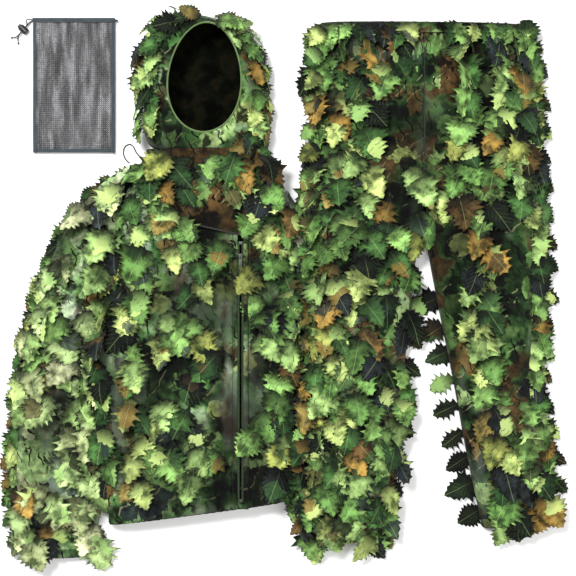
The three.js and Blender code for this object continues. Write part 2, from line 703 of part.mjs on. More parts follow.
function casing(z) {
  const rounded = (w, h, Kind) => {
    const outline = new Kind();
    outline.absellipse(0, 0, w / 2, h / 2, 0, Math.PI * 2, false, 0);
    return outline;
  };
  const shape = rounded(CASING_HEIGHT, CASING_WIDTH, THREE.Shape);
  shape.holes.push(rounded(CASING_HEIGHT - CASING_WALL * 2, CASING_WIDTH - CASING_WALL * 2, THREE.Path));
  const depth = BAG_RIGHT - BAG_LEFT;
  const geometry = new THREE.ExtrudeGeometry(shape, { depth, bevelEnabled: false, curveSegments: 8 });
  return geometry.rotateY(Math.PI / 2).translate(BAG_LEFT, casingY, z);
}
add("bag_back_casing", casing(CASING_BACK_Z), COLOURS.slate);
add("bag_front_casing", casing(CASING_FRONT_Z), COLOURS.slate);

// Drawcord: it runs through the front casing, turns round the bag's right corner and comes back.
function cord(points, steps) {
  const curve = new THREE.CatmullRomCurve3(points.map((p) => new THREE.Vector3(...p)));
  const section = new THREE.Shape();
  for (let i = 0; i < CORD_SIDES; i++) {
    const turn = (i / CORD_SIDES) * 2 * Math.PI;
    const x = CORD_RADIUS * Math.cos(turn);
    const y = CORD_RADIUS * Math.sin(turn);
    if (i === 0) section.moveTo(x, y);
    else section.lineTo(x, y);
  }
  section.closePath();
  return new THREE.ExtrudeGeometry(section, { steps, bevelEnabled: false, extrudePath: curve });
}

// Loop of cord at the jacket's neck, both ends sewn in between the shoulder and the bib.
const NECK_LOOP = [
  [-322, 253.5, CORD_RADIUS], [-330, 262, CORD_RADIUS], [-334, 274, CORD_RADIUS], [-331, 286, CORD_RADIUS],
  [-322, 291.5, CORD_RADIUS], [-314, 287, CORD_RADIUS], [-309, 277, CORD_RADIUS], [-302, 268, CORD_RADIUS],
  [-292, 262.5, CORD_RADIUS],
];
add("neck_cord_loop", cord(NECK_LOOP, 18), COLOURS.black);

const CORD_EXIT_X = BAG_LEFT - 0.6;
const turnRadius = (CASING_FRONT_Z - CASING_BACK_Z) / 2;
const turnX = BAG_RIGHT + 0.5;
const turn = [];
for (let i = 0; i <= CORD_TURN_STEPS; i++) {
  const angle = Math.PI / 2 - (i / CORD_TURN_STEPS) * Math.PI;
  turn.push([
    turnX + turnRadius * Math.cos(angle),
    casingY,
    CASING_BACK_Z + turnRadius * (1 + Math.sin(angle)),
  ]);
}
const held = [
  [CORD_EXIT_X + GAP, casingY, CASING_FRONT_Z],
  [(CORD_EXIT_X + BAG_RIGHT) / 2, casingY, CASING_FRONT_Z],
  [BAG_RIGHT - TUNNEL_END, casingY, CASING_FRONT_Z],
  ...turn,
  [BAG_RIGHT - TUNNEL_END, casingY, CASING_BACK_Z],
  [(CORD_EXIT_X + BAG_RIGHT) / 2, casingY, CASING_BACK_Z],
  [CORD_EXIT_X + GAP, casingY, CASING_BACK_Z],
];
add("bag_drawcord", cord(held, 48), COLOURS.black);

// The cord's two free tails run through the lock, one over the other, and end in knots.
const TAIL_UPPER = [
  [CORD_EXIT_X, casingY, CASING_FRONT_Z],
  [-520, 542.6, 12.2],
  [-524.5, 543.2, 11.4],
  [-528.4, 541.8, 10.4],
  [-529.4, 538, 9.6],
  [-528, 534, 9],
  [-530.1, 529.5, 8.6],
  [-535.3, 523.4, 8.6],
  [-540.5, 517.3, 8.6],
  [-544.1, 513.1, 8.6],
  [-548, 509.8, 7.2],
  [-552.4, 507.8, 4.6],
  [-556.4, 507.4, KNOT_RADIUS],
];
const TAIL_LOWER = [
  [CORD_EXIT_X, casingY, CASING_BACK_Z],
  [-519.6, 540.8, 2.6],
  [-523, 538, 3.6],
  [-526.4, 534, 4.8],
  [-530.1, 529.5, 5.4],
  [-535.3, 523.4, 5.4],
  [-540.5, 517.3, 5.4],
  [-544.1, 513.1, 5.4],
  [-546.8, 508.8, 4.3],
  [-547.6, 503.8, 3.1],
  [-547, 499.4, KNOT_RADIUS],
];
add("bag_cord_upper_tail", cord(TAIL_UPPER, 14), COLOURS.black);
add("bag_cord_lower_tail", cord(TAIL_LOWER, 12), COLOURS.black);

function knot(tail) {
  const last = new THREE.Vector3(...tail.at(-1));
  const out = last.clone().sub(new THREE.Vector3(...tail.at(-2))).setZ(0).normalize();
  const centre = last.clone().addScaledVector(out, KNOT_RADIUS + 0.6);
  return new THREE.SphereGeometry(KNOT_RADIUS, 10, 6).translate(centre.x, centre.y, KNOT_RADIUS);
}
add("bag_cord_upper_knot", knot(TAIL_UPPER), COLOURS.black);
add("bag_cord_lower_knot", knot(TAIL_LOWER), COLOURS.black);

// Cord lock: a cup and a plunger, both slotted for the two tails, with a spring under the plunger.
function lathed(profile) {
  return new THREE.LatheGeometry(profile.map(([r, y]) => new THREE.Vector2(r, y)), 20);
}
function placeLock(geometry) {
  return geometry.rotateZ(LOCK_TURN).translate(LOCK_CENTRE.x, LOCK_CENTRE.y, LOCK_CENTRE.z);
}
const lockFoot = -LOCK_LENGTH / 2;
const lockTop = LOCK_LENGTH / 2;
const bore = PLUNGER_RADIUS + GAP;
const lockCup = lathed([
  [0, lockFoot], [LOCK_RADIUS - 1.2, lockFoot], [LOCK_RADIUS, lockFoot + 1.4], [LOCK_RADIUS, lockTop - 0.8],
  [LOCK_RADIUS - 0.8, lockTop], [bore, lockTop], [bore, lockFoot + LOCK_WALL], [0, lockFoot + LOCK_WALL],
]);
const cordSlot = (y0, y1) => box(-20, 20, y0, y1, -LOCK_SLOT_HEIGHT / 2, LOCK_SLOT_HEIGHT / 2);
const slotFrom = LOCK_SLOT_CENTRE - LOCK_SLOT / 2;
const slotTo = LOCK_SLOT_CENTRE + LOCK_SLOT / 2;
add("cord_lock_body", placeLock(cut(lockCup, cordSlot(slotFrom, slotTo))), COLOURS.black, 0.45);
const plunger = lathed([
  [0, PLUNGER_FOOT], [PLUNGER_RADIUS, PLUNGER_FOOT], [PLUNGER_RADIUS, PLUNGER_TOP - 1],
  [PLUNGER_RADIUS - 1.2, PLUNGER_TOP], [0, PLUNGER_TOP],
]);
add(
  "cord_lock_plunger",
  placeLock(cut(plunger, cordSlot(slotFrom, slotTo + PLUNGER_TRAVEL))),
  COLOURS.slate, 0.45,
);
function spring() {
  const points = [];
  const steps = SPRING_TURNS * TURN_STEPS;
  const y0 = lockFoot + LOCK_WALL + SPRING_WIRE + SPRING_CLEARANCE;
  const y1 = PLUNGER_FOOT - SPRING_WIRE - SPRING_CLEARANCE;
  for (let i = 0; i <= steps; i++) {
    const turned = (i / TURN_STEPS) * 2 * Math.PI;
    points.push(new THREE.Vector3(
      SPRING_RADIUS * Math.cos(turned), y0 + ((y1 - y0) * i) / steps, SPRING_RADIUS * Math.sin(turned),
    ));
  }
  const section = new THREE.Shape();
  section.absarc(0, 0, SPRING_WIRE, 0, 2 * Math.PI, false);
  return new THREE.ExtrudeGeometry(section, {
    steps: 30, bevelEnabled: false, curveSegments: 3, extrudePath: new THREE.CatmullRomCurve3(points),
  });
}
add("cord_lock_spring", placeLock(spring()), COLOURS.steel, 0.3, 1);

export default suit;
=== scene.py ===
"""Leafy camouflage suit laid flat: hooded jacket, trousers and mesh storage bag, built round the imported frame."""

import math

import bmesh
import bpy
import numpy as np
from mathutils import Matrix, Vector


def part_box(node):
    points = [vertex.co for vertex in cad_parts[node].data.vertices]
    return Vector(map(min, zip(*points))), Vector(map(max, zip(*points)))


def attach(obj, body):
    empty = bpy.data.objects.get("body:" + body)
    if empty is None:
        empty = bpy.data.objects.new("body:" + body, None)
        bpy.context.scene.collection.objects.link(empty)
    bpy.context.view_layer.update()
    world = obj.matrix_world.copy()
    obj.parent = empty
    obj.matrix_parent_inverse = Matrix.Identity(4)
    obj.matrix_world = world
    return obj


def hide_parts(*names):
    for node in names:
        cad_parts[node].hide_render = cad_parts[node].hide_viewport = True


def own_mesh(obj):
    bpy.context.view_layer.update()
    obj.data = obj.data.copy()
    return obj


bl_info = {
    "name": "Leafy Suit Flat Lay",
    "version": (1, 0, 0),
    "blender": (4, 5, 0),
    "location": "View3D > Sidebar > Leafy Suit",
    "description": "Sews the cloth, leaves, zip and storage bag of a leafy camouflage suit round its frame",
    "category": "Object",
}

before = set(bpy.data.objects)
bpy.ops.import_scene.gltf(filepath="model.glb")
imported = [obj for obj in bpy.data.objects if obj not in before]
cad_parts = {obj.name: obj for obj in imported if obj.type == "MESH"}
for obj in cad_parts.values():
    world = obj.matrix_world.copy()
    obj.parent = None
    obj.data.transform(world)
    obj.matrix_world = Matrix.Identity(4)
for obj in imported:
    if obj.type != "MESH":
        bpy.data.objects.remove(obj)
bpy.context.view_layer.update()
MM = 0.001


# ---------------------------------------------------------------- colours and shader nodes


def linear(hex_value):
    """sRGB hex to the linear colour that the shaders use."""
    channels = [int(hex_value[i : i + 2], 16) / 255 for i in (1, 3, 5)]
    return [c / 12.92 if c <= 0.04045 else ((c + 0.055) / 1.055) ** 2.4 for c in channels] + [1.0]


def node(tree, kind, settings=None, inputs=None):
    """Adds a node, sets its properties and its sockets, and links a socket that is given another node's output."""
    made = tree.nodes.new(kind)
    for name, value in (settings or {}).items():
        setattr(made, name, value)
    for name, value in (inputs or {}).items():
        if isinstance(value, bpy.types.NodeSocket):
            tree.links.new(value, made.inputs[name])
        else:
            made.inputs[name].default_value = value
    return made


def ramp(tree, factor, stops, smooth="LINEAR"):
    """A colour ramp over the stops, each a place from 0 to 1 and a hex colour."""
    made = node(tree, "ShaderNodeValToRGB", inputs={"Fac": factor})
    made.color_ramp.interpolation = smooth
    elements = made.color_ramp.elements
    while len(elements) < len(stops):
        elements.new(0.5)
    for element, (place, colour) in zip(elements, stops):
        element.position = place
        element.color = linear(colour)
    return made.outputs["Color"]


def mixed(tree, factor, first, second, blend="MIX"):
    """Two colours mixed by a factor."""
    made = tree.nodes.new("ShaderNodeMix")
    made.data_type = "RGBA"
    made.blend_type = blend
    for socket, value in zip((0, 6, 7), (factor, first, second)):
        if isinstance(value, bpy.types.NodeSocket):
            tree.links.new(value, made.inputs[socket])
        else:
            made.inputs[socket].default_value = value
    return made.outputs[2]


def deepened(tree, colour, power, value=1.6, saturation=0.96):
    """The colour with its dark parts pulled darker, as dye prints them, and a little washed out."""
    grey = node(tree, "ShaderNodeRGBToBW", inputs={"Color": colour}).outputs[0]
    share = maths(tree, "MULTIPLY", maths(tree, "POWER", grey, power - 1), value)
    deep = node(tree, "ShaderNodeVectorMath", {"operation": "SCALE"}, {0: colour, "Scale": share}).outputs[0]
    return node(tree, "ShaderNodeHueSaturation", inputs={"Color": deep, "Saturation": saturation}).outputs[0]


def maths(tree, operation, first, second=0.0, clamp=False):
    """One step of arithmetic."""
    made = node(tree, "ShaderNodeMath", {"operation": operation, "use_clamp": clamp}, {0: first, 1: second})
    return made.outputs[0]


def new_material(name, roughness, metallic=0.0, **shader):
    """A material with its Principled shader; the remaining words set sockets of the same name."""
    material = bpy.data.materials.new(name)
    material.use_nodes = True
    tree = material.node_tree
    principled = tree.nodes["Principled BSDF"]
    principled.inputs["Roughness"].default_value = roughness
    principled.inputs["Metallic"].default_value = metallic
    for socket, value in shader.items():
        principled.inputs[socket.replace("_", " ")].default_value = value
    return material, tree, principled


def bump(tree, principled, height, distance_mm, strength=1.0):
    """Sends a height pattern to the shader's normal."""
    made = node(
        tree,
        "ShaderNodeBump",
        inputs={"Height": height, "Distance": distance_mm * MM, "Strength": strength},
    )
    tree.links.new(made.outputs["Normal"], principled.inputs["Normal"])


def noise(tree, vector, size_mm, detail=2.0, rough=0.5, distortion=0.0):
    """Cloudy noise whose lumps are about size_mm across."""
    inputs = {
        "Vector": vector,
        "Scale": 1 / (size_mm * MM),
        "Detail": detail,
        "Roughness": rough,
        "Distortion": distortion,
    }
    return node(tree, "ShaderNodeTexNoise", inputs=inputs).outputs["Fac"]


def warped(tree, vector, size_mm, reach_mm):
    """The coordinates pushed about by noise, so that a pattern's outlines grow ragged."""
    inputs = {"Vector": vector, "Scale": 1 / (size_mm * MM), "Detail": 3.0}
    push = node(tree, "ShaderNodeTexNoise", inputs=inputs).outputs["Color"]
    centred = node(tree, "ShaderNodeVectorMath", {"operation": "SUBTRACT"}, {0: push, 1: (0.5, 0.5, 0.5)})
    scaled = node(
        tree,
        "ShaderNodeVectorMath",
        {"operation": "SCALE"},
        {0: centred.outputs[0], "Scale": 2 * reach_mm * MM},
    )
    moved = node(tree, "ShaderNodeVectorMath", {"operation": "ADD"}, {0: vector, 1: scaled.outputs[0]})
    return moved.outputs[0]


# ---------------------------------------------------------------- materials

WEAVE_MM = 2.4


def printed_leaves(tree, vector, size_mm, share, foliage, reach=0.5):
    """Ragged printed leaves scattered over the cloth: their colour, and where they show."""
    ragged = warped(tree, warped(tree, vector, size_mm * 0.4, size_mm * 0.22), 7, 5)
    inputs = {"Vector": ragged, "Scale": 1 / (size_mm * MM)}
    cells = node(tree, "ShaderNodeTexVoronoi", {"feature": "F1"}, inputs)
    split = node(tree, "ShaderNodeSeparateColor", inputs={"Color": cells.outputs["Color"]})
    shown = maths(tree, "LESS_THAN", split.outputs[0], share)
    near = maths(tree, "LESS_THAN", cells.outputs["Distance"], reach)
    return ramp(tree, split.outputs[1], foliage, "CONSTANT"), maths(tree, "MULTIPLY", shown, near)


def twigs(tree, vector, size_mm, width, turn):
    """Thin wandering lines, as of twigs and grass stems."""
    turned = node(tree, "ShaderNodeMapping", inputs={"Vector": vector, "Rotation": (0, 0, turn)})
    inputs = {
        "Vector": turned.outputs[0],
        "Scale": 0.314 / (size_mm * MM),
        "Distortion": 9.0,
        "Detail": 2.0,
        "Detail Scale": 1.2,
    }
    wave = node(tree, "ShaderNodeTexWave", {"wave_type": "BANDS"}, inputs).outputs["Fac"]
    patch = maths(tree, "GREATER_THAN", noise(tree, turned.outputs[0], size_mm * 1.5), 0.55)
    return maths(tree, "MULTIPLY", maths(tree, "GREATER_THAN", wave, 1 - width), patch)


def camouflage(tree, vector, ground, foliage, leaf_share, haze_share):
    """A woodland print: clouds of ground colour, ragged printed leaves, dark gaps, twigs and sheer pale patches."""
    cloud = noise(tree, warped(tree, vector, 30, 14), 85, detail=3.0)
    colour = ramp(tree, cloud, ground)
    for size_mm, share in ((95, leaf_share), (48, leaf_share * 0.8)):
        printed, shown = printed_leaves(tree, vector, size_mm, share, foliage)
        colour = mixed(tree, maths(tree, "MULTIPLY", shown, 0.85), colour, printed)
    soft = noise(tree, vector, 14, detail=3.0, rough=0.5)
    colour = mixed(tree, 0.6, colour, ramp(tree, soft, [(0.32, "#70706c"), (0.6, "#ffffff")]), "MULTIPLY")
    colour = mixed(tree, maths(tree, "MULTIPLY", twigs(tree, vector, 30, 0.02, 0.9), 0.5), colour, linear("#a8a274"))
    colour = mixed(tree, twigs(tree, vector, 20, 0.05, -0.4), colour, linear("#14190f"))
    gap = ramp(tree, noise(tree, warped(tree, vector, 18, 12), 34, detail=2.0), [(0.37, "#ffffff"), (0.44, "#000000")])
    colour = mixed(tree, maths(tree, "MULTIPLY", gap, 0.85), colour, linear("#0d120b"))
    low = node(tree, "ShaderNodeMapping", inputs={"Vector": vector, "Scale": (1, 0.5, 1)}).outputs[0]
    haze = ramp(tree, noise(tree, low, 75, detail=2.0), [(0.52, "#000000"), (0.62, "#ffffff")])
    sheer = ramp(tree, noise(tree, low, 40), [(0.42, "#8ea58a"), (0.55, "#a3b59a"), (0.64, "#8f7f6c")])
    colour = mixed(tree, maths(tree, "MULTIPLY", haze, haze_share), colour, sheer)
    depth = ramp(tree, noise(tree, vector, 150, detail=1.0), [(0.36, "#909090"), (0.5, "#c8c8c4"), (0.6, "#ffffff")])
    return mixed(tree, 1.0, colour, depth, "MULTIPLY")


def weave(tree, vector):
    """Knit courses: fine ribs both ways. Real courses are under 1 mm and are drawn coarser, so that they show."""
    ribs = []
    for direction in ("X", "Y"):
        settings = {"wave_type": "BANDS", "bands_direction": direction}
        inputs = {"Vector": vector, "Scale": 0.5 / (WEAVE_MM * MM)}
        ribs.append(node(tree, "ShaderNodeTexWave", settings, inputs).outputs["Fac"])
    return maths(tree, "MULTIPLY", *ribs)


def printed_knit(name, ground, foliage, leaf_share, haze_share):
    """Heat-printed warp knit in thin polyester: matt, a little fuzzy at grazing angles, ribbed."""
    material, tree, principled = new_material(
        name, 0.86, Sheen_Weight=0.04, Sheen_Roughness=0.5, Specular_IOR_Level=0.12
    )
    vector = node(tree, "ShaderNodeTexCoord").outputs["Object"]
    colour = deepened(tree, camouflage(tree, vector, ground, foliage, leaf_share, haze_share), 1.5)
    tree.links.new(colour, principled.inputs["Base Color"])
    hanging = node(tree, "ShaderNodeMapping", inputs={"Vector": vector, "Scale": (1, 0.22, 1)})
    crumple = maths(tree, "ADD", noise(tree, hanging.outputs[0], 20, detail=3.0), noise(tree, vector, 30, detail=3.0))
    threads = maths(tree, "MULTIPLY", weave(tree, vector), 0.5)
    height = maths(tree, "ADD", maths(tree, "MULTIPLY", crumple, 5.0), threads)
    bump(tree, principled, height, 0.8, 0.8)
    return material


def die_cut_leaf():
    """Die-cut printed polyester: each leaf is cut from another part of the print, and faint veins show."""
    material, tree, principled = new_material(
        "die_cut_printed_polyester", 0.75, Sheen_Weight=0.03, Sheen_Roughness=0.45, Specular_IOR_Level=0.16
    )
    tint = node(tree, "ShaderNodeAttribute", {"attribute_name": "tint"}).outputs["Color"]
    shift = node(tree, "ShaderNodeAttribute", {"attribute_name": "shift"}).outputs["Vector"]
    blade = node(tree, "ShaderNodeAttribute", {"attribute_name": "blade"}).outputs["Vector"]
    place = node(tree, "ShaderNodeTexCoord").outputs["Object"]
    vector = node(tree, "ShaderNodeVectorMath", {"operation": "ADD"}, {0: place, 1: shift}).outputs[0]
    tone = noise(tree, vector, 24, detail=4.0, rough=0.55)
    shades = ramp(tree, tone, [(0.36, "#66745f"), (0.5, "#cfcfc8"), (0.62, "#ffffff")])
    colour = mixed(tree, 0.9, tint, shades, "MULTIPLY")
    foliage = [
        (0.0, "#b2c872"), (0.2, "#3d6634"), (0.38, "#8fb564"), (0.52, "#333f45"), (0.66, "#8a6a2e"),
        (0.76, "#16200f"), (0.88, "#5d4a2a"),
    ]
    printed, shown = printed_leaves(tree, vector, 52, 0.42, foliage, 0.5)
    colour = mixed(tree, maths(tree, "MULTIPLY", shown, 0.75), colour, printed)
    stems = maths(tree, "MULTIPLY", twigs(tree, vector, 12, 0.05, 0.7), 0.6)
    colour = mixed(tree, stems, colour, linear("#1c2213"))
    along = node(tree, "ShaderNodeSeparateXYZ", inputs={"Vector": blade})
    across = maths(tree, "ABSOLUTE", along.outputs["Y"])
    slant = maths(tree, "SUBTRACT", along.outputs["X"], maths(tree, "MULTIPLY", across, 1.15))
    veins = maths(tree, "GREATER_THAN", maths(tree, "SINE", maths(tree, "MULTIPLY", slant, 42.0)), 0.93)
    veins = maths(tree, "MULTIPLY", veins, maths(tree, "GREATER_THAN", noise(tree, vector, 26), 0.5))
    midrib = maths(tree, "LESS_THAN", across, 0.010)
    lines = maths(tree, "MAXIMUM", maths(tree, "MULTIPLY", veins, 0.5), midrib)
    colour = mixed(tree, maths(tree, "MULTIPLY", lines, 0.25), colour, linear("#a9c47c"))
    # Each leaf darkens towards its stalk: partly print, partly painted shade where the leaf meets the cloth and lies
    # under its neighbours.
    stalk = ramp(tree, along.outputs["X"], [(0.0, "#4c4c4c"), (0.5, "#ffffff")])
    colour = deepened(tree, mixed(tree, 1.0, colour, stalk, "MULTIPLY"), 1.45)
    tree.links.new(colour, principled.inputs["Base Color"])
    height = maths(tree, "ADD", noise(tree, vector, 8, detail=3.0), maths(tree, "MULTIPLY", lines, 1.2))
    bump(tree, principled, height, 0.5, 0.7)
    return material


def shadowed_lining():
    """The wrong side of the hood's back: the print shows through faintly, nearly black in the hood's own shade."""
    material, tree, principled = new_material("shadowed_knit_lining", 0.95, Specular_IOR_Level=0.02)
    vector = node(tree, "ShaderNodeTexCoord").outputs["Object"]
    print_through = noise(tree, warped(tree, vector, 26, 12), 34, detail=3.0)
    stops = [(0.4, "#050604"), (0.52, "#0b0e07"), (0.6, "#15120a"), (0.7, "#0a1008")]
    tree.links.new(ramp(tree, print_through, stops), principled.inputs["Base Color"])
    bump(tree, principled, weave(tree, vector), 0.4, 0.6)
    return material


def woven_tape(name, colour_hex, rib_mm, spread=0.35):
    """Woven polyester tape: ribs across it and a slight mottle from handling."""
    material, tree, principled = new_material(name, 0.8, Sheen_Weight=0.3, Specular_IOR_Level=0.3)
    vector = node(tree, "ShaderNodeTexCoord").outputs["Object"]
    inputs = {"Vector": vector, "Scale": 0.5 / (rib_mm * MM)}
    ribs = node(tree, "ShaderNodeTexWave", {"bands_direction": "DIAGONAL"}, inputs).outputs["Fac"]
    mottle = noise(tree, vector, 14, detail=3.0)
    tone = mixed(tree, spread, linear("#ffffff"), ramp(tree, mottle, [(0.3, "#5a5a5a"), (0.7, "#ffffff")]), "MULTIPLY")
    tree.links.new(mixed(tree, 1.0, linear(colour_hex), tone, "MULTIPLY"), principled.inputs["Base Color"])
    bump(tree, principled, ribs, 0.35, 0.8)
    return material


def knitted_net():
    """Warp-knitted polyester net: grey yarn, with painted light and shade in streaks along the soft folds that run down
    the bag.
    """
    material, tree, principled = new_material("knitted_polyester_net", 0.8, Sheen_Weight=0.1, Specular_IOR_Level=0.25)
    vector = node(tree, "ShaderNodeTexCoord").outputs["Object"]
    long = node(tree, "ShaderNodeMapping", inputs={"Vector": vector, "Scale": (1, 0.16, 1)}).outputs[0]
    # Painted light and shade: pale and dark streaks down the bag stand for light on the folds' crests and shade in
    # their hollows.
    folds = ramp(tree, noise(tree, long, 13, detail=2.0), [(0.36, "#4b4b4d"), (0.5, "#6a696a"), (0.64, "#97979a")])
    mottle = ramp(tree, noise(tree, vector, 5, detail=2.0), [(0.3, "#b4b4b4"), (0.7, "#ffffff")])
    tree.links.new(mixed(tree, 1.0, folds, mottle, "MULTIPLY"), principled.inputs["Base Color"])
    bump(tree, principled, noise(tree, vector, 1.2), 0.2, 0.6)
    return material


def braided_cord():
    """Braided black polyester cord: crossing strands that glint a little, with painted highlight on their crests and
    painted shade between them.
    """
    material, tree, principled = new_material("braided_polyester", 0.6, Sheen_Weight=0.3)
    vector = node(tree, "ShaderNodeTexCoord").outputs["Object"]
    strands = []
    for turn in (0.8, -0.8):
        turned = node(tree, "ShaderNodeMapping", inputs={"Vector": vector, "Rotation": (0, 0, turn)})
        inputs = {"Vector": turned.outputs[0], "Scale": 0.5 / (1.1 * MM)}
        strands.append(node(tree, "ShaderNodeTexWave", inputs=inputs).outputs["Fac"])
    braid = maths(tree, "MAXIMUM", *strands)
    # Painted highlight and shade: the braid's crests are coloured lighter and the gaps between strands darker.
    tree.links.new(ramp(tree, braid, [(0.3, "#0c0d0e"), (0.9, "#2b2e31")]), principled.inputs["Base Color"])
    bump(tree, principled, braid, 0.25, 0.9)
    return material


def moulded_acetal(name, colour_hex):
    """Acetal moulded in a spark-eroded tool: fine even grain and a low, broad gloss."""
    material, tree, principled = new_material(name, 0.42, IOR=1.48)
    vector = node(tree, "ShaderNodeTexCoord").outputs["Object"]
    grain = noise(tree, vector, 0.6, detail=2.0)
    tone = mixed(tree, 0.5, linear("#ffffff"), ramp(tree, noise(tree, vector, 6), [(0.3, "#808080"), (0.7, "#ffffff")]))
    tree.links.new(mixed(tree, 1.0, linear(colour_hex), tone, "MULTIPLY"), principled.inputs["Base Color"])
    bump(tree, principled, grain, 0.08, 0.6)
    return material


def painted_zinc():
    """Zinc die casting with baked green-grey paint, worn to metal where it rubs."""
    material, tree, principled = new_material("painted_zinc_casting", 0.42, 0.6)
    vector = node(tree, "ShaderNodeTexCoord").outputs["Object"]
    wear = noise(tree, vector, 2.2, detail=4.0, rough=0.7)
    colour = ramp(tree, wear, [(0.5, "#3a4034"), (0.64, "#4a4f45"), (0.7, "#9a9c96")])
    tree.links.new(colour, principled.inputs["Base Color"])
    bump(tree, principled, wear, 0.05, 0.5)
    return material


def spring_wire():
    """Bright drawn spring wire, with faint draw lines."""
    material, tree, principled = new_material("drawn_spring_wire", 0.28, 1.0)
    vector = node(tree, "ShaderNodeTexCoord").outputs["Object"]
    tree.links.new(
        ramp(tree, noise(tree, vector, 0.8), [(0.3, "#8f9296"), (0.7, "#c9ccd0")]), principled.inputs["Base Color"]
    )
    return material


MATERIALS = {}


def make_materials():
    """Every finish on the suit, made once."""
    jacket_ground = [
        (0.30, "#141c10"), (0.38, "#2a4222"), (0.45, "#4f7840"), (0.52, "#7ba468"), (0.58, "#9db88a"),
        (0.64, "#66794f"), (0.72, "#6b5636"), (0.82, "#2d2417"),
    ]
    trouser_ground = [
        (0.30, "#10160c"), (0.38, "#25401f"), (0.45, "#3c6430"), (0.50, "#5d7c40"), (0.55, "#66502d"),
        (0.62, "#86653a"), (0.72, "#4d3a20"), (0.82, "#1b2013"),
    ]
    sleeve_ground = [
        (0.30, "#1c2416"), (0.37, "#4f7840"), (0.44, "#8fb873"), (0.52, "#b8d29a"), (0.60, "#c9d6ac"),
        (0.70, "#94905f"), (0.82, "#4a3a22"),
    ]
    pale = [
        (0.0, "#c6dc9c"), (0.3, "#a9cd80"), (0.5, "#7fae5c"), (0.64, "#9a7a3c"), (0.76, "#4a5a5c"), (0.86, "#d3e0a6"),
    ]
    throat_ground = [
        (0.30, "#15140c"), (0.40, "#4a371d"), (0.48, "#8c6a38"), (0.54, "#665229"), (0.60, "#3f6633"),
        (0.70, "#5d8a48"), (0.82, "#22381c"),
    ]
    foliage = [
        (0.0, "#7aaa58"), (0.2, "#588f44"), (0.36, "#a3c676"), (0.5, "#34582c"), (0.6, "#8a6c36"),
        (0.7, "#38444a"), (0.78, "#a5b868"), (0.9, "#1a2512"),
    ]
    MATERIALS.update(
        jacket=printed_knit("printed_knit_jacket", jacket_ground, foliage, 0.6, 0.7),
        trousers=printed_knit("printed_knit_trousers", trouser_ground, foliage, 0.42, 0.25),
        sleeve=printed_knit("printed_knit_sleeve", sleeve_ground, pale, 0.6, 0.6),
        throat=printed_knit("printed_knit_throat", throat_ground, foliage, 0.16, 0.1),
        leaf=die_cut_leaf(),
        lining=shadowed_lining(),
        elastic=woven_tape("woven_elastic", "#14160f", 1.6),
        piping=woven_tape("knit_piping", "#5f7a3e", 1.8),
        tape=woven_tape("zip_tape_weave", "#33452a", 1.2),
        coil=moulded_acetal("nylon_coil", "#20271b"),
        zinc=painted_zinc(),
        bag_mesh=knitted_net(),
        bag_tape=woven_tape("woven_polyester_binding", "#39444b", 1.4),
        cord=braided_cord(),
        lock=moulded_acetal("moulded_acetal_black", "#15171a"),
        button=moulded_acetal("moulded_acetal_slate", "#2b3136"),
        wire=spring_wire(),
    )


# ---------------------------------------------------------------- shapes

BASE = 2.4


def spline(points, t):
    """Points of a smooth line through the rows of points, at t from 0 to 1."""
    p = np.asarray(points, float)
    p = np.vstack([2 * p[0] - p[1], p, 2 * p[-1] - p[-2]])
    s = np.clip(np.asarray(t, float), 0, 1) * (len(p) - 3)
    i = np.minimum(s.astype(int), len(p) - 4)
    f = (s - i)[..., None]
    a, b, c, d = p[i], p[i + 1], p[i + 2], p[i + 3]
    return b + 0.5 * f * (c - a + f * (2 * a - 5 * b + 4 * c - d + f * (3 * (b - c) + d - a)))


def ripple(x, y, size_mm, seed, waves=6):
    """Smooth seeded ups and downs from -1 to 1, about size_mm from crest to crest."""
    rng = np.random.default_rng(seed)
    total = 0
    for _ in range(waves):
        turn, phase = rng.uniform(0, 2 * math.pi, 2)
        k = 2 * math.pi / (size_mm * rng.uniform(0.7, 1.4))
        total = total + np.sin(k * (x * math.cos(turn) + y * math.sin(turn)) + phase)
    return total / waves


class Tube:
    """A sewn tube lying flat, in millimetres: two edge lines in plan, an arch between them and the cloth's folds."""

    def __init__(self, left, right, height, lift_left=0, lift_right=0, reach=1, crown_left=False,
                 roundness=2.6, fold=3.0, gathers=(), seed=1):
        count = len(left)
        columns = [np.broadcast_to(np.asarray(c, float), (count,)) for c in (lift_left, lift_right, height, reach)]
        self.left = np.column_stack([np.asarray(left, float), columns[0]])
        self.right = np.column_stack([np.asarray(right, float), columns[1]])
        self.crown = np.column_stack(columns[2:])
        self.crown_left = crown_left
        self.roundness = roundness
        self.fold = fold
        self.gathers = gathers
        self.seed = seed

    def __call__(self, u, v):
        u, v = np.broadcast_arrays(np.asarray(u, float), np.asarray(v, float))
        left, right, crown = spline(self.left, v), spline(self.right, v), spline(self.crown, v)
        plan = left + (right - left) * u[..., None]
        near = 1 - u if self.crown_left else u
        start, end = (right, left) if self.crown_left else (left, right)
        lift = np.maximum(0, start[..., 2] + (end[..., 2] - start[..., 2]) * near**3)
        w = np.clip(np.abs(-1 + near * (1 + np.clip(crown[..., 1], 0, 1))), 0, 1)
        full = (1 - w**self.roundness) ** (1 / self.roundness)
        x, y = plan[..., 0], plan[..., 1]
        z = lift + BASE + (crown[..., 0] - BASE) * full
        soft = full * np.clip(1.35 - w**3, 0, 1)
        z = z + soft * self.fold * (ripple(x, y, 95, self.seed) + 0.55 * ripple(x, y, 42, self.seed + 1))
        for place, depth, count, reach in self.gathers:
            near_band = np.exp(-np.abs(v - place) / reach)
            pleat = np.abs(np.sin(math.pi * count * u + 1.3 * ripple(x, y, 60, self.seed + 2)))
            z = z - depth * near_band * full * (1 - pleat)
        return np.stack([x, y, z], -1)


def normals_of(grid):
    """Unit normals of a grid of points, pointing up."""
    across = np.gradient(grid, axis=1)
    along = np.gradient(grid, axis=0)
    n = np.cross(across, along)
    n = n / np.maximum(np.linalg.norm(n, axis=-1, keepdims=True), 1e-9)
    return n * np.where(n[..., 2:].mean() < 0, -1, 1)


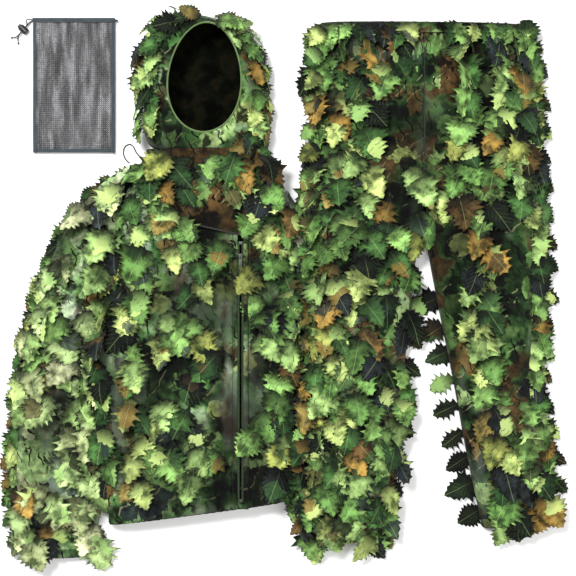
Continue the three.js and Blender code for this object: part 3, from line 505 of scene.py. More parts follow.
def mesh_object(name, vertices, faces, material, smooth=True):
    """A linked object from points in millimetres and faces."""
    mesh = bpy.data.meshes.new(name)
    mesh.from_pydata((np.asarray(vertices) * MM).tolist(), [], [tuple(map(int, f)) for f in faces])
    mesh.validate()
    mesh.materials.append(material)
    if smooth:
        mesh.shade_smooth()
    made = bpy.data.objects.new(name, mesh)
    bpy.context.scene.collection.objects.link(made)
    return made


def grid_faces(rows, columns, wrap_rows=False, wrap_columns=False, start=0):
    """Four-sided faces of a grid of points numbered row by row."""
    i = np.arange(rows if wrap_rows else rows - 1)[:, None]
    j = np.arange(columns if wrap_columns else columns - 1)[None, :]
    a = i * columns + j
    b = i * columns + (j + 1) % columns
    c = ((i + 1) % rows) * columns + (j + 1) % columns
    d = ((i + 1) % rows) * columns + j
    return np.stack([a, b, c, d], -1).reshape(-1, 4) + start


def shell(name, grid, thick, material, closed=False, flip=False):
    """A thin closed sheet of cloth: the grid is its outer face. closed joins the last column to the first."""
    rows, columns = grid.shape[:2]
    inner = grid - normals_of(grid) * thick * (-1 if flip else 1)
    if closed:
        ring = np.concatenate([grid, inner[::-1]])
        points = ring.reshape(-1, 3)
        faces = grid_faces(rows * 2, columns, wrap_rows=True, wrap_columns=True)
    else:
        half = rows * columns
        top = grid_faces(rows, columns)
        points = np.concatenate([grid.reshape(-1, 3), inner.reshape(-1, 3)])
        edge = [
            *[(i, i + 1) for i in range(columns - 1)],
            *[(j * columns + columns - 1, (j + 1) * columns + columns - 1) for j in range(rows - 1)],
            *[((rows - 1) * columns + i + 1, (rows - 1) * columns + i) for i in range(columns - 2, -1, -1)],
            *[((j + 1) * columns, j * columns) for j in range(rows - 2, -1, -1)],
        ]
        rim = [(b, a, a + half, b + half) for a, b in edge]
        faces = [*top, *(top[:, ::-1] + half), *rim]
    made = mesh_object(name, points, faces, material)
    outward(made)
    return made


CLOTHS = {}


def cloth(name, grid, body, finish, nodes, thick, closed=False, held="laid"):
    """A panel of cloth on its body, with the size that it was cut to: its arc lengths across and along."""
    piece = shell(name, grid, thick, MATERIALS[finish], closed)
    loop = np.concatenate([grid, grid[:, :1]], axis=1) if closed else grid
    across = np.linalg.norm(np.diff(loop, axis=1), axis=-1).sum(1).max() * MM
    along = np.linalg.norm(np.diff(grid, axis=0), axis=-1).sum(0).max() * MM
    a, b, c, d = loop[:-1, :-1], loop[:-1, 1:], loop[1:, 1:], loop[1:, :-1]
    halves = np.cross(b - a, c - a), np.cross(c - a, d - a)
    area = float(sum(np.linalg.norm(half, axis=-1).sum() for half in halves) / 2 * MM**2)
    CLOTHS[name] = {"body": body, "flat": (float(across), float(along)), "area": area, "held": held, "runs": []}
    return dress(piece, body, "printed_cloth", *nodes)


def outward(piece):
    """Turns a closed piece's faces outwards."""
    mesh = piece.data
    co = np.empty(len(mesh.vertices) * 3)
    mesh.vertices.foreach_get("co", co)
    co = co.reshape(-1, 3)
    mesh.calc_loop_triangles()
    tri = np.empty(len(mesh.loop_triangles) * 3, int)
    mesh.loop_triangles.foreach_get("vertices", tri)
    a, b, c = (co[tri.reshape(-1, 3)[:, k]] for k in range(3))
    if np.einsum("ij,ij->i", a, np.cross(b, c)).sum() < 0:
        mesh.flip_normals()


def softened(name, finish, body, slot, width_mm):
    """A rigid piece with the frame's own shape, its edges rounded off as a moulding's or a casting's are."""
    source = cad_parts[name]
    shape = bmesh.new()
    shape.from_mesh(source.data)
    shape.transform(source.matrix_world)
    bmesh.ops.remove_doubles(shape, verts=shape.verts, dist=0.001 * MM)
    bmesh.ops.dissolve_limit(shape, angle_limit=math.radians(1), verts=shape.verts, edges=shape.edges)
    mesh = bpy.data.meshes.new(f"{name}_finished")
    shape.to_mesh(mesh)
    shape.free()
    mesh.materials.clear()
    mesh.materials.append(MATERIALS[finish])
    mesh.shade_smooth()
    piece = bpy.data.objects.new(f"{name}_finished", mesh)
    bpy.context.scene.collection.objects.link(piece)
    soften = piece.modifiers.new("soft edges", "BEVEL")
    soften.width = width_mm * MM
    soften.segments = 3
    soften.limit_method = "ANGLE"
    soften.harden_normals = True
    return dress(piece, body, slot, name)


def dress(piece, body, slot, *nodes):
    """Puts a piece on its body and hides the CAD nodes that it stands for; its slot is not used."""
    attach(piece, body)
    if nodes:
        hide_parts(*nodes)
    return piece


def eased(count):
    """Steps from 0 to 1 that lie closer together at both ends."""
    return (1 - np.cos(np.linspace(0, math.pi, count))) / 2


# ---------------------------------------------------------------- the garments' lines, as the frame has them

TORSO = Tube(
    left=[(-360, -475), (-372, -344), (-384, -214), (-384, -114), (-368, -24), (-352, 76), (-338, 160),
          (-312, 216), (-262, 256)],
    right=[(-4, -428), (6, -324), (14, -204), (18, -114), (20, -24), (14, 76), (-6, 160), (-34, 214), (-66, 248)],
    height=[60, 64, 64, 64, 64, 64, 60, 48, 36], roundness=4, fold=1.6, gathers=[(0, 7, 26, 0.05)], seed=11,
)
SLEEVE_RIGHT = Tube(
    left=[(-318, 250), (-392, 200), (-450, 118), (-494, 16), (-524, -106), (-542, -226), (-549, -326),
          (-547, -424), (-532, -500), (-504, -546)],
    right=[(-372, -34), (-381, -74), (-391, -124), (-394, -194), (-391, -274), (-376, -334), (-370, -394),
           (-376, -440), (-388, -492), (-402, -542)],
    height=[46, 48, 50, 50, 48, 46, 44, 42, 34, 26], fold=3.4, gathers=[(1, 7, 13, 0.05)], seed=21,
)
SLEEVE_LEFT = Tube(
    left=[(26, -44), (26, -84), (27, -128), (28, -184), (30, -244), (30, -304), (25, -364), (24, -424),
          (36, -480), (62, -516)],
    right=[(0, 196), (38, 132), (72, 56), (106, -34), (136, -134), (162, -234), (182, -334), (194, -414),
           (190, -474), (164, -512)],
    height=[38, 36, 32, 30, 30, 30, 30, 30, 26, 22], fold=1.5, gathers=[(1, 5, 11, 0.05)], seed=31,
)
HIP_REACH = [0, 0, 0, 0.1, 0.75, 1, 1, 1, 1, 1, 1, 1]
LEG_HEIGHT = [36, 44, 50, 52, 50, 48, 46, 44, 44, 44, 42, 32]
LEG_LEFT = Tube(
    left=[(68, 532), (60, 452), (56, 352), (54, 246), (54, 160), (56, 76), (58, -8), (56, -104), (50, -208),
          (40, -304), (32, -404), (40, -486)],
    right=[(270, 528), (270, 448), (270, 348), (270, 246), (268, 154), (262, 86), (252, -4), (242, -104),
           (230, -200), (216, -304), (200, -400), (180, -482)],
    height=LEG_HEIGHT, lift_left=[0, 0, 0, 0, 14, 34, 38, 38, 38, 38, 38, 38],
    lift_right=[0, 0, 0, 0, 0, 0, 0, 0, 8, 24, 38, 38], reach=HIP_REACH, fold=3.0,
    gathers=[(0, 16, 15, 0.07)], seed=41,
)
LEG_RIGHT = Tube(
    left=[(270, 528), (270, 448), (270, 348), (270, 246), (276, 154), (282, 86), (298, -4), (318, -104),
          (338, -204), (356, -304), (376, -404), (394, -484)],
    right=[(472, 528), (482, 456), (486, 356), (490, 246), (494, 160), (496, 76), (496, -14), (494, -104),
           (490, -200), (506, -304), (526, -400), (536, -480)],
    height=LEG_HEIGHT, reach=HIP_REACH, crown_left=True, fold=3.0, gathers=[(0, 16, 15, 0.07)], seed=51,
)

WAIST = Tube(left=[(66, 536), (62, 498)], right=[(474, 532), (478, 498)], height=[36, 42], fold=0.8,
             gathers=[(1, 6, 30, 0.8)], seed=81)

FACE_CENTRE = np.array([-164.0, 415.0])
FACE_HALF = (73, 108)
FACE_TILT = -0.06
FACE_RIM_Z = 84
NECK_Y = 276
HOOD_OUTLINE = [
    (-46, 380, 0), (-60, 446, 0), (-80, 496, 0), (-114, 530, 0), (-160, 544, 0), (-206, 545, 0), (-250, 527, 0),
    (-281, 488, 0), (-292, 444, 0), (-290, 396, 0), (-290, 344, 0), (-286, 298, 0), (-256, NECK_Y, 46),
    (-216, NECK_Y, 68), (-160, NECK_Y, 74), (-104, NECK_Y, 68), (-66, NECK_Y, 46), (-46, 300, 0),
]
HOOD_START = -0.37
BIB_LEFT = [(-286, 276), (-278, 238), (-256, 196), (-232, 160), (-206, 130)]
BIB_RIGHT = [(-44, 276), (-34, 232), (-38, 176), (-50, 128), (-74, 100)]
BIB_FOOT = [3, 44, 62, 68, 69]


def face_opening(angle, grow=0.0):
    """The egg of the face opening, blunt end at the crown, at each angle."""
    c, s = np.cos(angle), np.sin(angle)
    x = c * (FACE_HALF[0] + grow) * (1 - 0.1 * s)
    y = s * (FACE_HALF[1] + grow)
    turned = np.stack([x * math.cos(FACE_TILT) - y * math.sin(FACE_TILT),
                       x * math.sin(FACE_TILT) + y * math.cos(FACE_TILT)], -1)
    return turned + FACE_CENTRE


def closed_spline(points, t):
    """Points of a smooth loop through the rows of points, at t from 0 to 1."""
    p = np.asarray(points, float)
    s = (np.asarray(t, float) % 1) * len(p)
    i = s.astype(int)
    f = (s - i)[..., None]
    a, b, c, d = (p[(i + k) % len(p)] for k in (-1, 0, 1, 2))
    return b + 0.5 * f * (c - a + f * (2 * a - 5 * b + 4 * c - d + f * (3 * (b - c) + d - a)))


def hood_surface(u, v):
    """The hood's front: u runs round the face opening, v from its rim out to the hood's edge."""
    u, v = np.broadcast_arrays(np.asarray(u, float), np.asarray(v, float))
    edge = closed_spline(HOOD_OUTLINE, u)
    angle = HOOD_START + u * 2 * math.pi
    rim = face_opening(angle)
    plan = rim + (edge[..., :2] - rim) * v[..., None]
    low = np.maximum(BASE, edge[..., 2] + BASE)
    high = FACE_RIM_Z + 4 * np.sin(angle)
    fall = (1 - np.clip(v, 0, 1) ** 2.6) ** (1 / 2.6)
    x, y = plan[..., 0], plan[..., 1]
    z = low + (high - low) * fall
    z = z + 2.0 * fall * v * (ripple(x, y, 70, 61) + 0.6 * ripple(x, y, 30, 62))
    return np.stack([x, y, z], -1)


def bib_surface(u, v):
    """The hood's skirt over the chest: u across, v from the neck to the free lower edge."""
    u, v = np.broadcast_arrays(np.asarray(u, float), np.asarray(v, float))
    left, right = spline(BIB_LEFT, v), spline(BIB_RIGHT, v)
    plan = left + (right - left) * u[..., None]
    foot = spline(np.array(BIB_FOOT, float)[:, None], v)[..., 0]
    crown = 77 - 4 * v
    w = np.abs(u * 2 - 1)
    full = (1 - w**4) ** 0.25
    x, y = plan[..., 0], plan[..., 1]
    z = np.minimum(foot, crown - 1) + (crown - np.minimum(foot, crown - 1)) * full
    z = z + 2.2 * full * (ripple(x, y, 55, 71) + 0.5 * ripple(x, y, 26, 72))
    return np.stack([x, y, z], -1)


# ---------------------------------------------------------------- leaves

LEAF_OUTLINES = [
    [(0, .03), (.07, .06), (.05, .28), (.14, .25), (.17, .40), (.24, .31), (.33, .50), (.38, .38), (.47, .48),
     (.46, .30), (.52, .25), (.60, .35), (.63, .26), (.72, .34), (.73, .20), (.82, .22), (.85, .11), (.93, .10),
     (1, 0)],
    [(0, .03), (.09, .06), (.13, .26), (.20, .18), (.27, .17), (.36, .39), (.40, .26), (.46, .22), (.57, .46),
     (.58, .29), (.65, .23), (.75, .35), (.74, .21), (.83, .16), (.90, .20), (.92, .08), (1, 0)],
    [(0, .10), (.06, .24), (.12, .21), (.15, .38), (.24, .30), (.28, .46), (.37, .35), (.43, .49), (.50, .36),
     (.57, .44), (.61, .30), (.69, .36), (.71, .24), (.80, .26), (.82, .15), (.90, .15), (.93, .07), (1, 0)],
    [(0, .04), (.05, .08), (.02, .25), (.12, .26), (.13, .44), (.24, .37), (.34, .52), (.38, .35), (.45, .29),
     (.55, .33), (.57, .24), (.68, .31), (.70, .21), (.80, .21), (.86, .10), (.93, .08), (1, 0)],
]
LEAF_COLUMNS = np.array([-1, -0.55, 0, 0.55, 1])
PALETTE = [
    ("#8cbb60", 18), ("#a2c672", 14), ("#b9cd74", 10), ("#74a650", 16), ("#588c42", 12), ("#3a6732", 8),
    ("#1e3319", 6), ("#3c484c", 7), ("#b3bd5c", 4), ("#b8913c", 4), ("#93713a", 3), ("#a8924a", 2),
]
PALE = [
    ("#d0e09c", 5), ("#bcd98c", 6), ("#a6cc76", 5), ("#dde4ae", 2), ("#8cbb60", 3), ("#c29c48", 3), ("#55626a", 1),
]
SHADED = [("#2c3f1d", 5), ("#3f4d22", 4), ("#4a3a1c", 3), ("#1d2a15", 4), ("#33502a", 4)]


LEAF_CEILING = 91
LEAF_GIVE = 8
SLIDER_STOP = [(-101, -411), (-87, -382)]  # corners of the place where the slider stops and its tab stands up


class LeafBed:
    """Gathers the leaves of one run into a single mesh."""

    def __init__(self, seed):
        self.rng = np.random.default_rng(seed)
        self.points = []
        self.faces = []
        self.tints = []
        self.shifts = []
        self.blades = []
        self.count = 0

    def leaf(self, origin, along, normal, length, tilt, droop, palette=None):
        """One leaf: its stalk at origin, its blade along the cloth and tilted off it, then drooping."""
        rng = self.rng
        outline = np.array(LEAF_OUTLINES[rng.integers(len(LEAF_OUTLINES))])
        rows = len(outline)
        middle = np.linspace(0, 1, rows)
        side = np.abs(LEAF_COLUMNS)
        widths = LEAF_COLUMNS * np.where(LEAF_COLUMNS < 0, rng.uniform(0.85, 1.1), rng.uniform(0.85, 1.1))
        u = middle[:, None] + (outline[:, :1] - middle[:, None]) * side
        v = outline[:, 1:] * widths
        steps = np.linspace(0, 1, 40)
        angle = tilt - droop * steps**1.3
        path_x = np.concatenate([[0], np.cumsum(np.cos(angle[:-1]))]) / 39
        path_z = np.concatenate([[0], np.cumsum(np.sin(angle[:-1]))]) / 39
        cup, twist = rng.uniform(-0.5, 0.9), rng.uniform(-0.5, 0.5)
        lx = np.interp(u, steps, path_x)
        lz = np.interp(u, steps, path_z) + cup * v**2 + twist * u * v
        lz = lz + 0.02 * np.sin(u * 9 + rng.uniform(0, 6)) * np.sin(v * 8 + rng.uniform(0, 6))
        along = along / np.linalg.norm(along)
        normal = normal - along * (normal @ along)
        normal = normal / np.linalg.norm(normal)
        across = np.cross(normal, along)
        top = origin + length * (lx[..., None] * along + v[..., None] * across + lz[..., None] * normal)
        inside = 1 - (side > 0.99)[None, :] * np.ones((rows, 1))
        inside[[0, -1]] = 0
        under = top - normal * 0.5 * inside[..., None]
        floor = 0.6
        top[..., 2] = np.maximum(top[..., 2], floor + 0.5)
        under[..., 2] = np.maximum(under[..., 2], floor)
        under[inside == 0] = top[inside == 0]
        self.join(top, under, inside)
        names, weights = zip(*(palette or PALETTE))
        tint = names[rng.choice(len(names), p=np.array(weights) / sum(weights))]
        shade = rng.uniform(0.62, 1.12)
        number = len(self.points[-1])
        self.tints.append(np.tile([*(np.array(linear(tint)[:3]) * shade), 1], (number, 1)))
        self.shifts.append(np.tile(rng.uniform(-1, 1, 3), (number, 1)))
        blade = np.stack([u, v, np.zeros_like(u)], -1).reshape(-1, 3)
        kept = inside.reshape(-1) > 0
        self.blades.append(np.concatenate([blade, blade[kept]]))
        if ((top[..., :2] > SLIDER_STOP[0]) & (top[..., :2] < SLIDER_STOP[1])).all(-1).any():
            self.drop(number)

    def drop(self, number):
        """Takes off the last leaf, which would lie where the zip's slider stops."""
        for made in (self.points, self.faces, self.tints, self.shifts, self.blades):
            made.pop()
        self.count -= number

    def join(self, top, under, inside):
        """Adds the blade's two faces, which share its outline."""
        rows, columns = top.shape[:2]
        number = np.arange(rows * columns).reshape(rows, columns)
        below = number.copy()
        kept = inside > 0
        below[kept] = rows * columns + np.arange(kept.sum())
        quads = []
        for layer, turn in ((number, 1), (below, -1)):
            corners = [layer[:-1, :-1], layer[:-1, 1:], layer[1:, 1:], layer[1:, :-1]][::turn]
            quads.append(np.stack(corners, -1).reshape(-1, 4))
        self.faces.append(np.concatenate(quads) + self.count)
        points = np.concatenate([top.reshape(-1, 3), under[kept]])
        self.points.append(points)
        self.count += len(points)

    def finish(self, name, body, *nodes):
        """Makes the run's mesh with its per-leaf attributes and puts it on its body."""
        points = np.concatenate(self.points)
        over = np.maximum(points[:, 2] - LEAF_CEILING, 0)
        points[:, 2] -= over - LEAF_GIVE * np.tanh(over / LEAF_GIVE)
        piece = mesh_object(name, points, np.concatenate(self.faces), MATERIALS["leaf"])
        mesh = piece.data
        tint = mesh.attributes.new("tint", "FLOAT_COLOR", "POINT")
        tint.data.foreach_set("color", np.concatenate(self.tints).astype(np.float32).ravel())
        for label, values in (("shift", self.shifts), ("blade", self.blades)):
            attribute = mesh.attributes.new(label, "FLOAT_VECTOR", "POINT")
            attribute.data.foreach_set("vector", np.concatenate(values).astype(np.float32).ravel())
        return dress(piece, body, "leaf_cloth", *nodes)


def tangent_frame(surface, u, v, step=0.004):
    """A point of a surface with its normal and the directions in which u and v grow."""
    here = surface(u, v)
    du = surface(min(u + step, 1), v) - surface(max(u - step, 0), v)
    dv = surface(u, min(v + step, 1)) - surface(u, max(v - step, 0))
    normal = np.cross(du, dv)
    size = np.linalg.norm(normal)
    normal = np.array([0.0, 0.0, 1.0]) if size < 1e-9 else normal / size
    if normal[2] < 0:
        normal = -normal
    return here, normal, du, dv


DOWN = np.array([0.0, -1.0, 0.0])


def turned(direction, angle):
    """A level direction turned about the vertical."""
    c, s = math.cos(angle), math.sin(angle)
    return np.array([direction[0] * c - direction[1] * s, direction[0] * s + direction[1] * c, 0.0])


def leaf_line(bed, surface, line, pitch, bare=(), spread=(0.1, 0.75), down=DOWN, length=(60, 86), palette=None):
    """Sews leaves in pairs down a line of a surface, one to each side, splayed from downhill."""
    rng = bed.rng
    fine = np.linspace(0, 1, 400)
    track = np.array([surface(*line(t)) for t in fine])
    run = np.concatenate([[0], np.cumsum(np.linalg.norm(np.diff(track, axis=0), axis=1))])
    place = rng.uniform(0, 0.3) * pitch
    side = 1
    while place < run[-1]:
        side = -side
        for way, late in ((side, 0), (-side, rng.uniform(0.2, 0.5))):
            t = float(np.interp(place + late * pitch, run, fine))
            here, normal, _, _ = tangent_frame(surface, *line(t))
            if any(math.hypot((here[0] - x) / rx, (here[1] - y) / ry) < 1 for x, y, rx, ry in bare):
                continue
            along = turned(down(here) if callable(down) else down, way * rng.uniform(*spread))
            along = along - normal * (along @ normal)
            lean = normal + 0.25 * np.array([0, 0, 1.0])
            bed.leaf(here + normal * 1.8, along, lean, rng.uniform(*length), rng.uniform(0.12, 0.6),
                     rng.uniform(0.2, 1.0), palette)
        place += pitch * rng.uniform(0.85, 1.15)


def round_the_face(here):
    """The way a leaf hangs round the face opening: down the hood's side, and a little away from the face."""
    out = here[:2] - FACE_CENTRE
    out = np.array([*out / np.linalg.norm(out), 0.0])
    return turned(out, 1.25 if here[0] < FACE_CENTRE[0] else -1.25)


def fringe(bed, edge, z, angle, pitch, length, palette=None, tilt=0.1):
    """Leaves that stand out sideways from a seam, all turned the same way and a little unevenly spaced."""
    rng = bed.rng
    fine = spline(edge, np.linspace(0, 1, 300))
    run = np.concatenate([[0], np.cumsum(np.linalg.norm(np.diff(fine, axis=0), axis=1))])
    place = pitch * rng.uniform(0.2, 0.5)
    while place < run[-1]:
        x, y = (np.interp(place, run, fine[:, k]) for k in (0, 1))
        along = turned(DOWN, angle + rng.uniform(-0.16, 0.16))
        bed.leaf(np.array([x, y, z]), along, np.array([0, 0, 1.0]), length * rng.uniform(0.88, 1.12), tilt,
                 rng.uniform(0.0, 0.3), palette)
        place += pitch * rng.uniform(0.9, 1.1)


# ---------------------------------------------------------------- settings


class SuitSizes(bpy.types.PropertyGroup):
    """Sizes that a user would change."""

    cloth_mm: bpy.props.FloatProperty(
        name="Cloth thickness", description="Thickness of the printed knit, in millimetres", default=1.0, min=0.3
    )
    leaf_pitch_mm: bpy.props.FloatProperty(
        name="Leaf pitch", description="Distance between leaves along a run, in millimetres", default=60.0, min=10.0
    )
    net_pitch_mm: bpy.props.FloatProperty(
        name="Net pitch", description="Distance between the holes of the bag's net, in millimetres", default=4.2
    )
    cord_diameter: bpy.props.FloatProperty(
        name="Cord diameter", description="Diameter of the drawcord", default=2.5 * MM, unit="LENGTH"
    )
    camera_height: bpy.props.FloatProperty(
        name="Camera height", description="Height of the camera over the ground", default=2.76, unit="LENGTH"
    )


class SuitColours(bpy.types.PropertyGroup):
    """Colours that a user would change."""

    ground: bpy.props.FloatVectorProperty(
        name="Ground", description="Colour of the floor", subtype="COLOR", size=3, min=0, max=1,
        default=tuple(linear("#f7f7f6")[:3]),
    )


def sizes():
    """The suit's sizes in this scene."""
    return bpy.context.scene.suit_sizes


# ---------------------------------------------------------------- operators


class SUIT_OT_stage(bpy.types.Operator):
    """Sets the camera over the layout, the pale floor and the soft studio light"""

    bl_idname = "suit.stage"
    bl_label = "Stage"

    def execute(self, context):
        camera = bpy.data.objects.new("camera", bpy.data.cameras.new("camera"))
        camera.data.lens = 85
        camera.data.sensor_width = 36
        camera.location = (0, 0, sizes().camera_height)
        context.scene.collection.objects.link(camera)
        context.scene.camera = camera
        self.floor(context)
        self.lights(context)
        return {"FINISHED"}

    def floor(self, context):
        material, _, principled = new_material("pale_paper_sweep", 0.9)
        principled.inputs["Base Color"].default_value = [*context.scene.suit_colours.ground, 1]
        half = 9000
        corners = [(-half, -half, -0.6), (half, -half, -0.6), (half, half, -0.6), (-half, half, -0.6)]
        mesh_object("floor", corners, [(0, 1, 2, 3)], material, smooth=False)

    def lights(self, context):
        world = bpy.data.worlds.new("studio")
        world.use_nodes = True
        background = world.node_tree.nodes["Background"]
        background.inputs["Color"].default_value = (1, 1, 1, 1)
        background.inputs["Strength"].default_value = 0.56
        context.scene.world = world
        for name, place, side, power in (
            ("key", (-1.0, 1.2, 3.3), 0.8, 140),
            ("fill", (1.8, -1.2, 3.0), 2.4, 60),
        ):
            light = bpy.data.lights.new(name, "AREA")
            light.energy = power
            light.size = side
            lamp = bpy.data.objects.new(name, light)
            lamp.location = place
            lamp.rotation_mode = "QUATERNION"
            lamp.rotation_quaternion = (-Vector(place)).to_track_quat("-Z", "Y")
            context.scene.collection.objects.link(lamp)
        context.scene.view_settings.view_transform = "Standard"


class SUIT_OT_jacket(bpy.types.Operator):
    """Sews the jacket's body panels, its sleeves and their elasticated edges"""

    bl_idname = "suit.jacket"
    bl_label = "Jacket"

    def execute(self, context):
        thick = sizes().cloth_mm
        rows = np.linspace(0.035, 1, 170)[:, None]
        zip_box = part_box("zip_tape_right")[0][0] / MM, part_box("zip_tape_left")[1][0] / MM
        for side, node_name in (("right", "jacket_front_right_panel"), ("left", "jacket_front_left_panel")):
            left, right = spline(TORSO.left, rows), spline(TORSO.right, rows)
            cut = (zip_box[0 if side == "right" else 1] - left[..., 0]) / (right[..., 0] - left[..., 0])
            share = eased(80 if side == "right" else 40)[None, :]
            across = share * cut if side == "right" else cut + share * (1 - cut)
            cloth(f"jacket_front_{side}_cloth", TORSO(across, rows), "jacket", "jacket", [node_name], thick)
        back_cloth("jacket_back", TORSO, 0.035, 1, "jacket", "jacket", ["jacket_back_panel"])
        for side, tube in (("right", SLEEVE_RIGHT), ("left", SLEEVE_LEFT)):
            grid = tube(eased(60)[None, :], np.linspace(0, 0.96, 180)[:, None])
            finish = "sleeve" if side == "right" else "jacket"
            cloth(f"sleeve_{side}_front_cloth", grid, "jacket", finish, [f"sleeve_{side}_front_panel"], thick)
            back_cloth(f"sleeve_{side}_back", tube, 0, 0.96, "jacket", "jacket", [f"sleeve_{side}_back_panel"])
            band(f"sleeve_{side}_cuff", tube, 0.955, 1.0, MATERIALS["jacket"], "jacket", [f"sleeve_{side}_cuff_band"])
        # The neck facing is a flat sheet in the near-black lining: painted shade where the hood meets the neck.
        across, along = np.linspace(-268, -60, 40)[None, :], np.linspace(236, 275, 8)[:, None]
        across, along = np.broadcast_arrays(across, along)
        facing = np.stack([across, along, 2.4 + 0.4 * ripple(across, along, 40, 15)], -1)
        cloth("jacket_neck_facing", facing, "jacket", "lining", [], thick)
        band("jacket_hem", TORSO, 0.0, 0.036, MATERIALS["jacket"], "jacket", ["jacket_hem_band"])
        elastic("jacket_hem", TORSO, 0.004, 0.029, "jacket", "jacket_hem_elastic")
        return {"FINISHED"}


def back_cloth(name, tube, v0, v1, finish, body, nodes):
    """The panel that lies on the ground: flat, with the tube's outline."""
    rows = np.linspace(v0, v1, 60)[:, None]
    share = np.linspace(0, 1, 16)[None, :]
    left, right = spline(tube.left, rows), spline(tube.right, rows)
    grid = left + (right - left) * share[..., None]
    near = 1 - share if tube.crown_left else share
    start, end = (right, left) if tube.crown_left else (left, right)
    grid[..., 2] = np.maximum(0, start[..., 2] + (end[..., 2] - start[..., 2]) * near**3) + 1.4
    return cloth(f"{name}_cloth", grid, body, finish, nodes, 1.2)


def band(name, tube, v0, v1, material, body, nodes, depth=3.0, pleats=34, pucker_mm=0.9):
    """An elasticated edge: a puckered band of cloth round the tube's end."""
    columns = 160
    half = columns // 2
    around = np.concatenate([eased(half + 1), eased(half + 1)[-2:0:-1]])
    under = np.arange(columns) > half
    ring = []
    profile = [(0.0, 0.0), (0.12, 1.6), (0.35, 0.6), (0.65, 0.6), (0.88, 1.6), (1.0, 0.0), (0.7, -depth), (0.3, -depth)]
    for share, out in profile:
        v = v0 + (v1 - v0) * share
        line = tube(around, np.full(columns, v))
        flat = spline(tube.left, v) + (spline(tube.right, v) - spline(tube.left, v)) * around[:, None]
        centre = line[:half].mean(0)
        centre[2] = flat[0, 2] + (line[half // 2, 2] - flat[0, 2]) / 2
        line[under, 2] = np.maximum(flat[under, 2], flat[0, 2] * (flat[under, 2] > 0)) + 0.2
        pucker = np.sin(np.arange(columns) / columns * 2 * math.pi * pleats) * np.sqrt(4 * around * (1 - around))
        inward = centre - line
        inward = inward / np.maximum(np.linalg.norm(inward, axis=1, keepdims=True), 1e-6)
        shift = -(out + pucker_mm * pucker) * (out > -1) - out * (out <= -1)
        line = line + inward * shift[:, None]
        line[:, 2] = np.maximum(line[:, 2], 0.2)
        ring.append(line)
    grid = np.array(ring)
    faces = grid_faces(len(profile), columns, wrap_rows=True, wrap_columns=True)
    piece = mesh_object(f"{name}_gathers", grid.reshape(-1, 3), faces, material)
    outward(piece)
    wide = float(np.linalg.norm(np.diff(grid, axis=1), axis=-1).sum(1).mean()) * MM
    deep = float(np.linalg.norm(np.diff(grid, axis=0), axis=-1).sum(0).mean()) * MM / 2
    CLOTHS[piece.name] = {"body": body, "flat": (wide, deep), "area": None, "held": "gathered", "runs": []}
    return dress(piece, body, "printed_cloth", *nodes)


def elastic(name, tube, v0, v1, body, node_name):
    """The woven elastic inside a band, drawn up into the band's gathers."""
    low, high = (np.array(corner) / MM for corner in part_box(node_name))
    columns, half, thick = 240, 120, 1.1
    around = np.concatenate([eased(half + 1), eased(half + 1)[-2:0:-1]])
    under = np.arange(columns) > half
    ring = []
    for v, depth in ((v0, 4.2), (v1, 4.2), (v1, 4.2 + thick), (v0, 4.2 + thick)):
        line = tube(around, np.full(columns, v))
        line[under, 2] = low[2] + depth - 4.2
        line[~under, 2] = np.maximum(line[~under, 2] - depth, low[2] + thick * 2)
        centre = line[:, 0].mean()
        line[:, 0] = centre + (line[:, 0] - centre) * (high[0] - low[0]) / (np.ptp(line[:, 0]) + depth * 0.3)
        line[:, 1] = line[:, 1] + 0.25 * np.sin(np.arange(columns) * 0.8)
        ring.append(line)
    faces = grid_faces(4, columns, wrap_rows=True, wrap_columns=True)
    piece = mesh_object(f"{name}_elastic_strip", np.array(ring).reshape(-1, 3), faces, MATERIALS["elastic"])
    outward(piece)
    return dress(piece, body, "elastic", node_name)


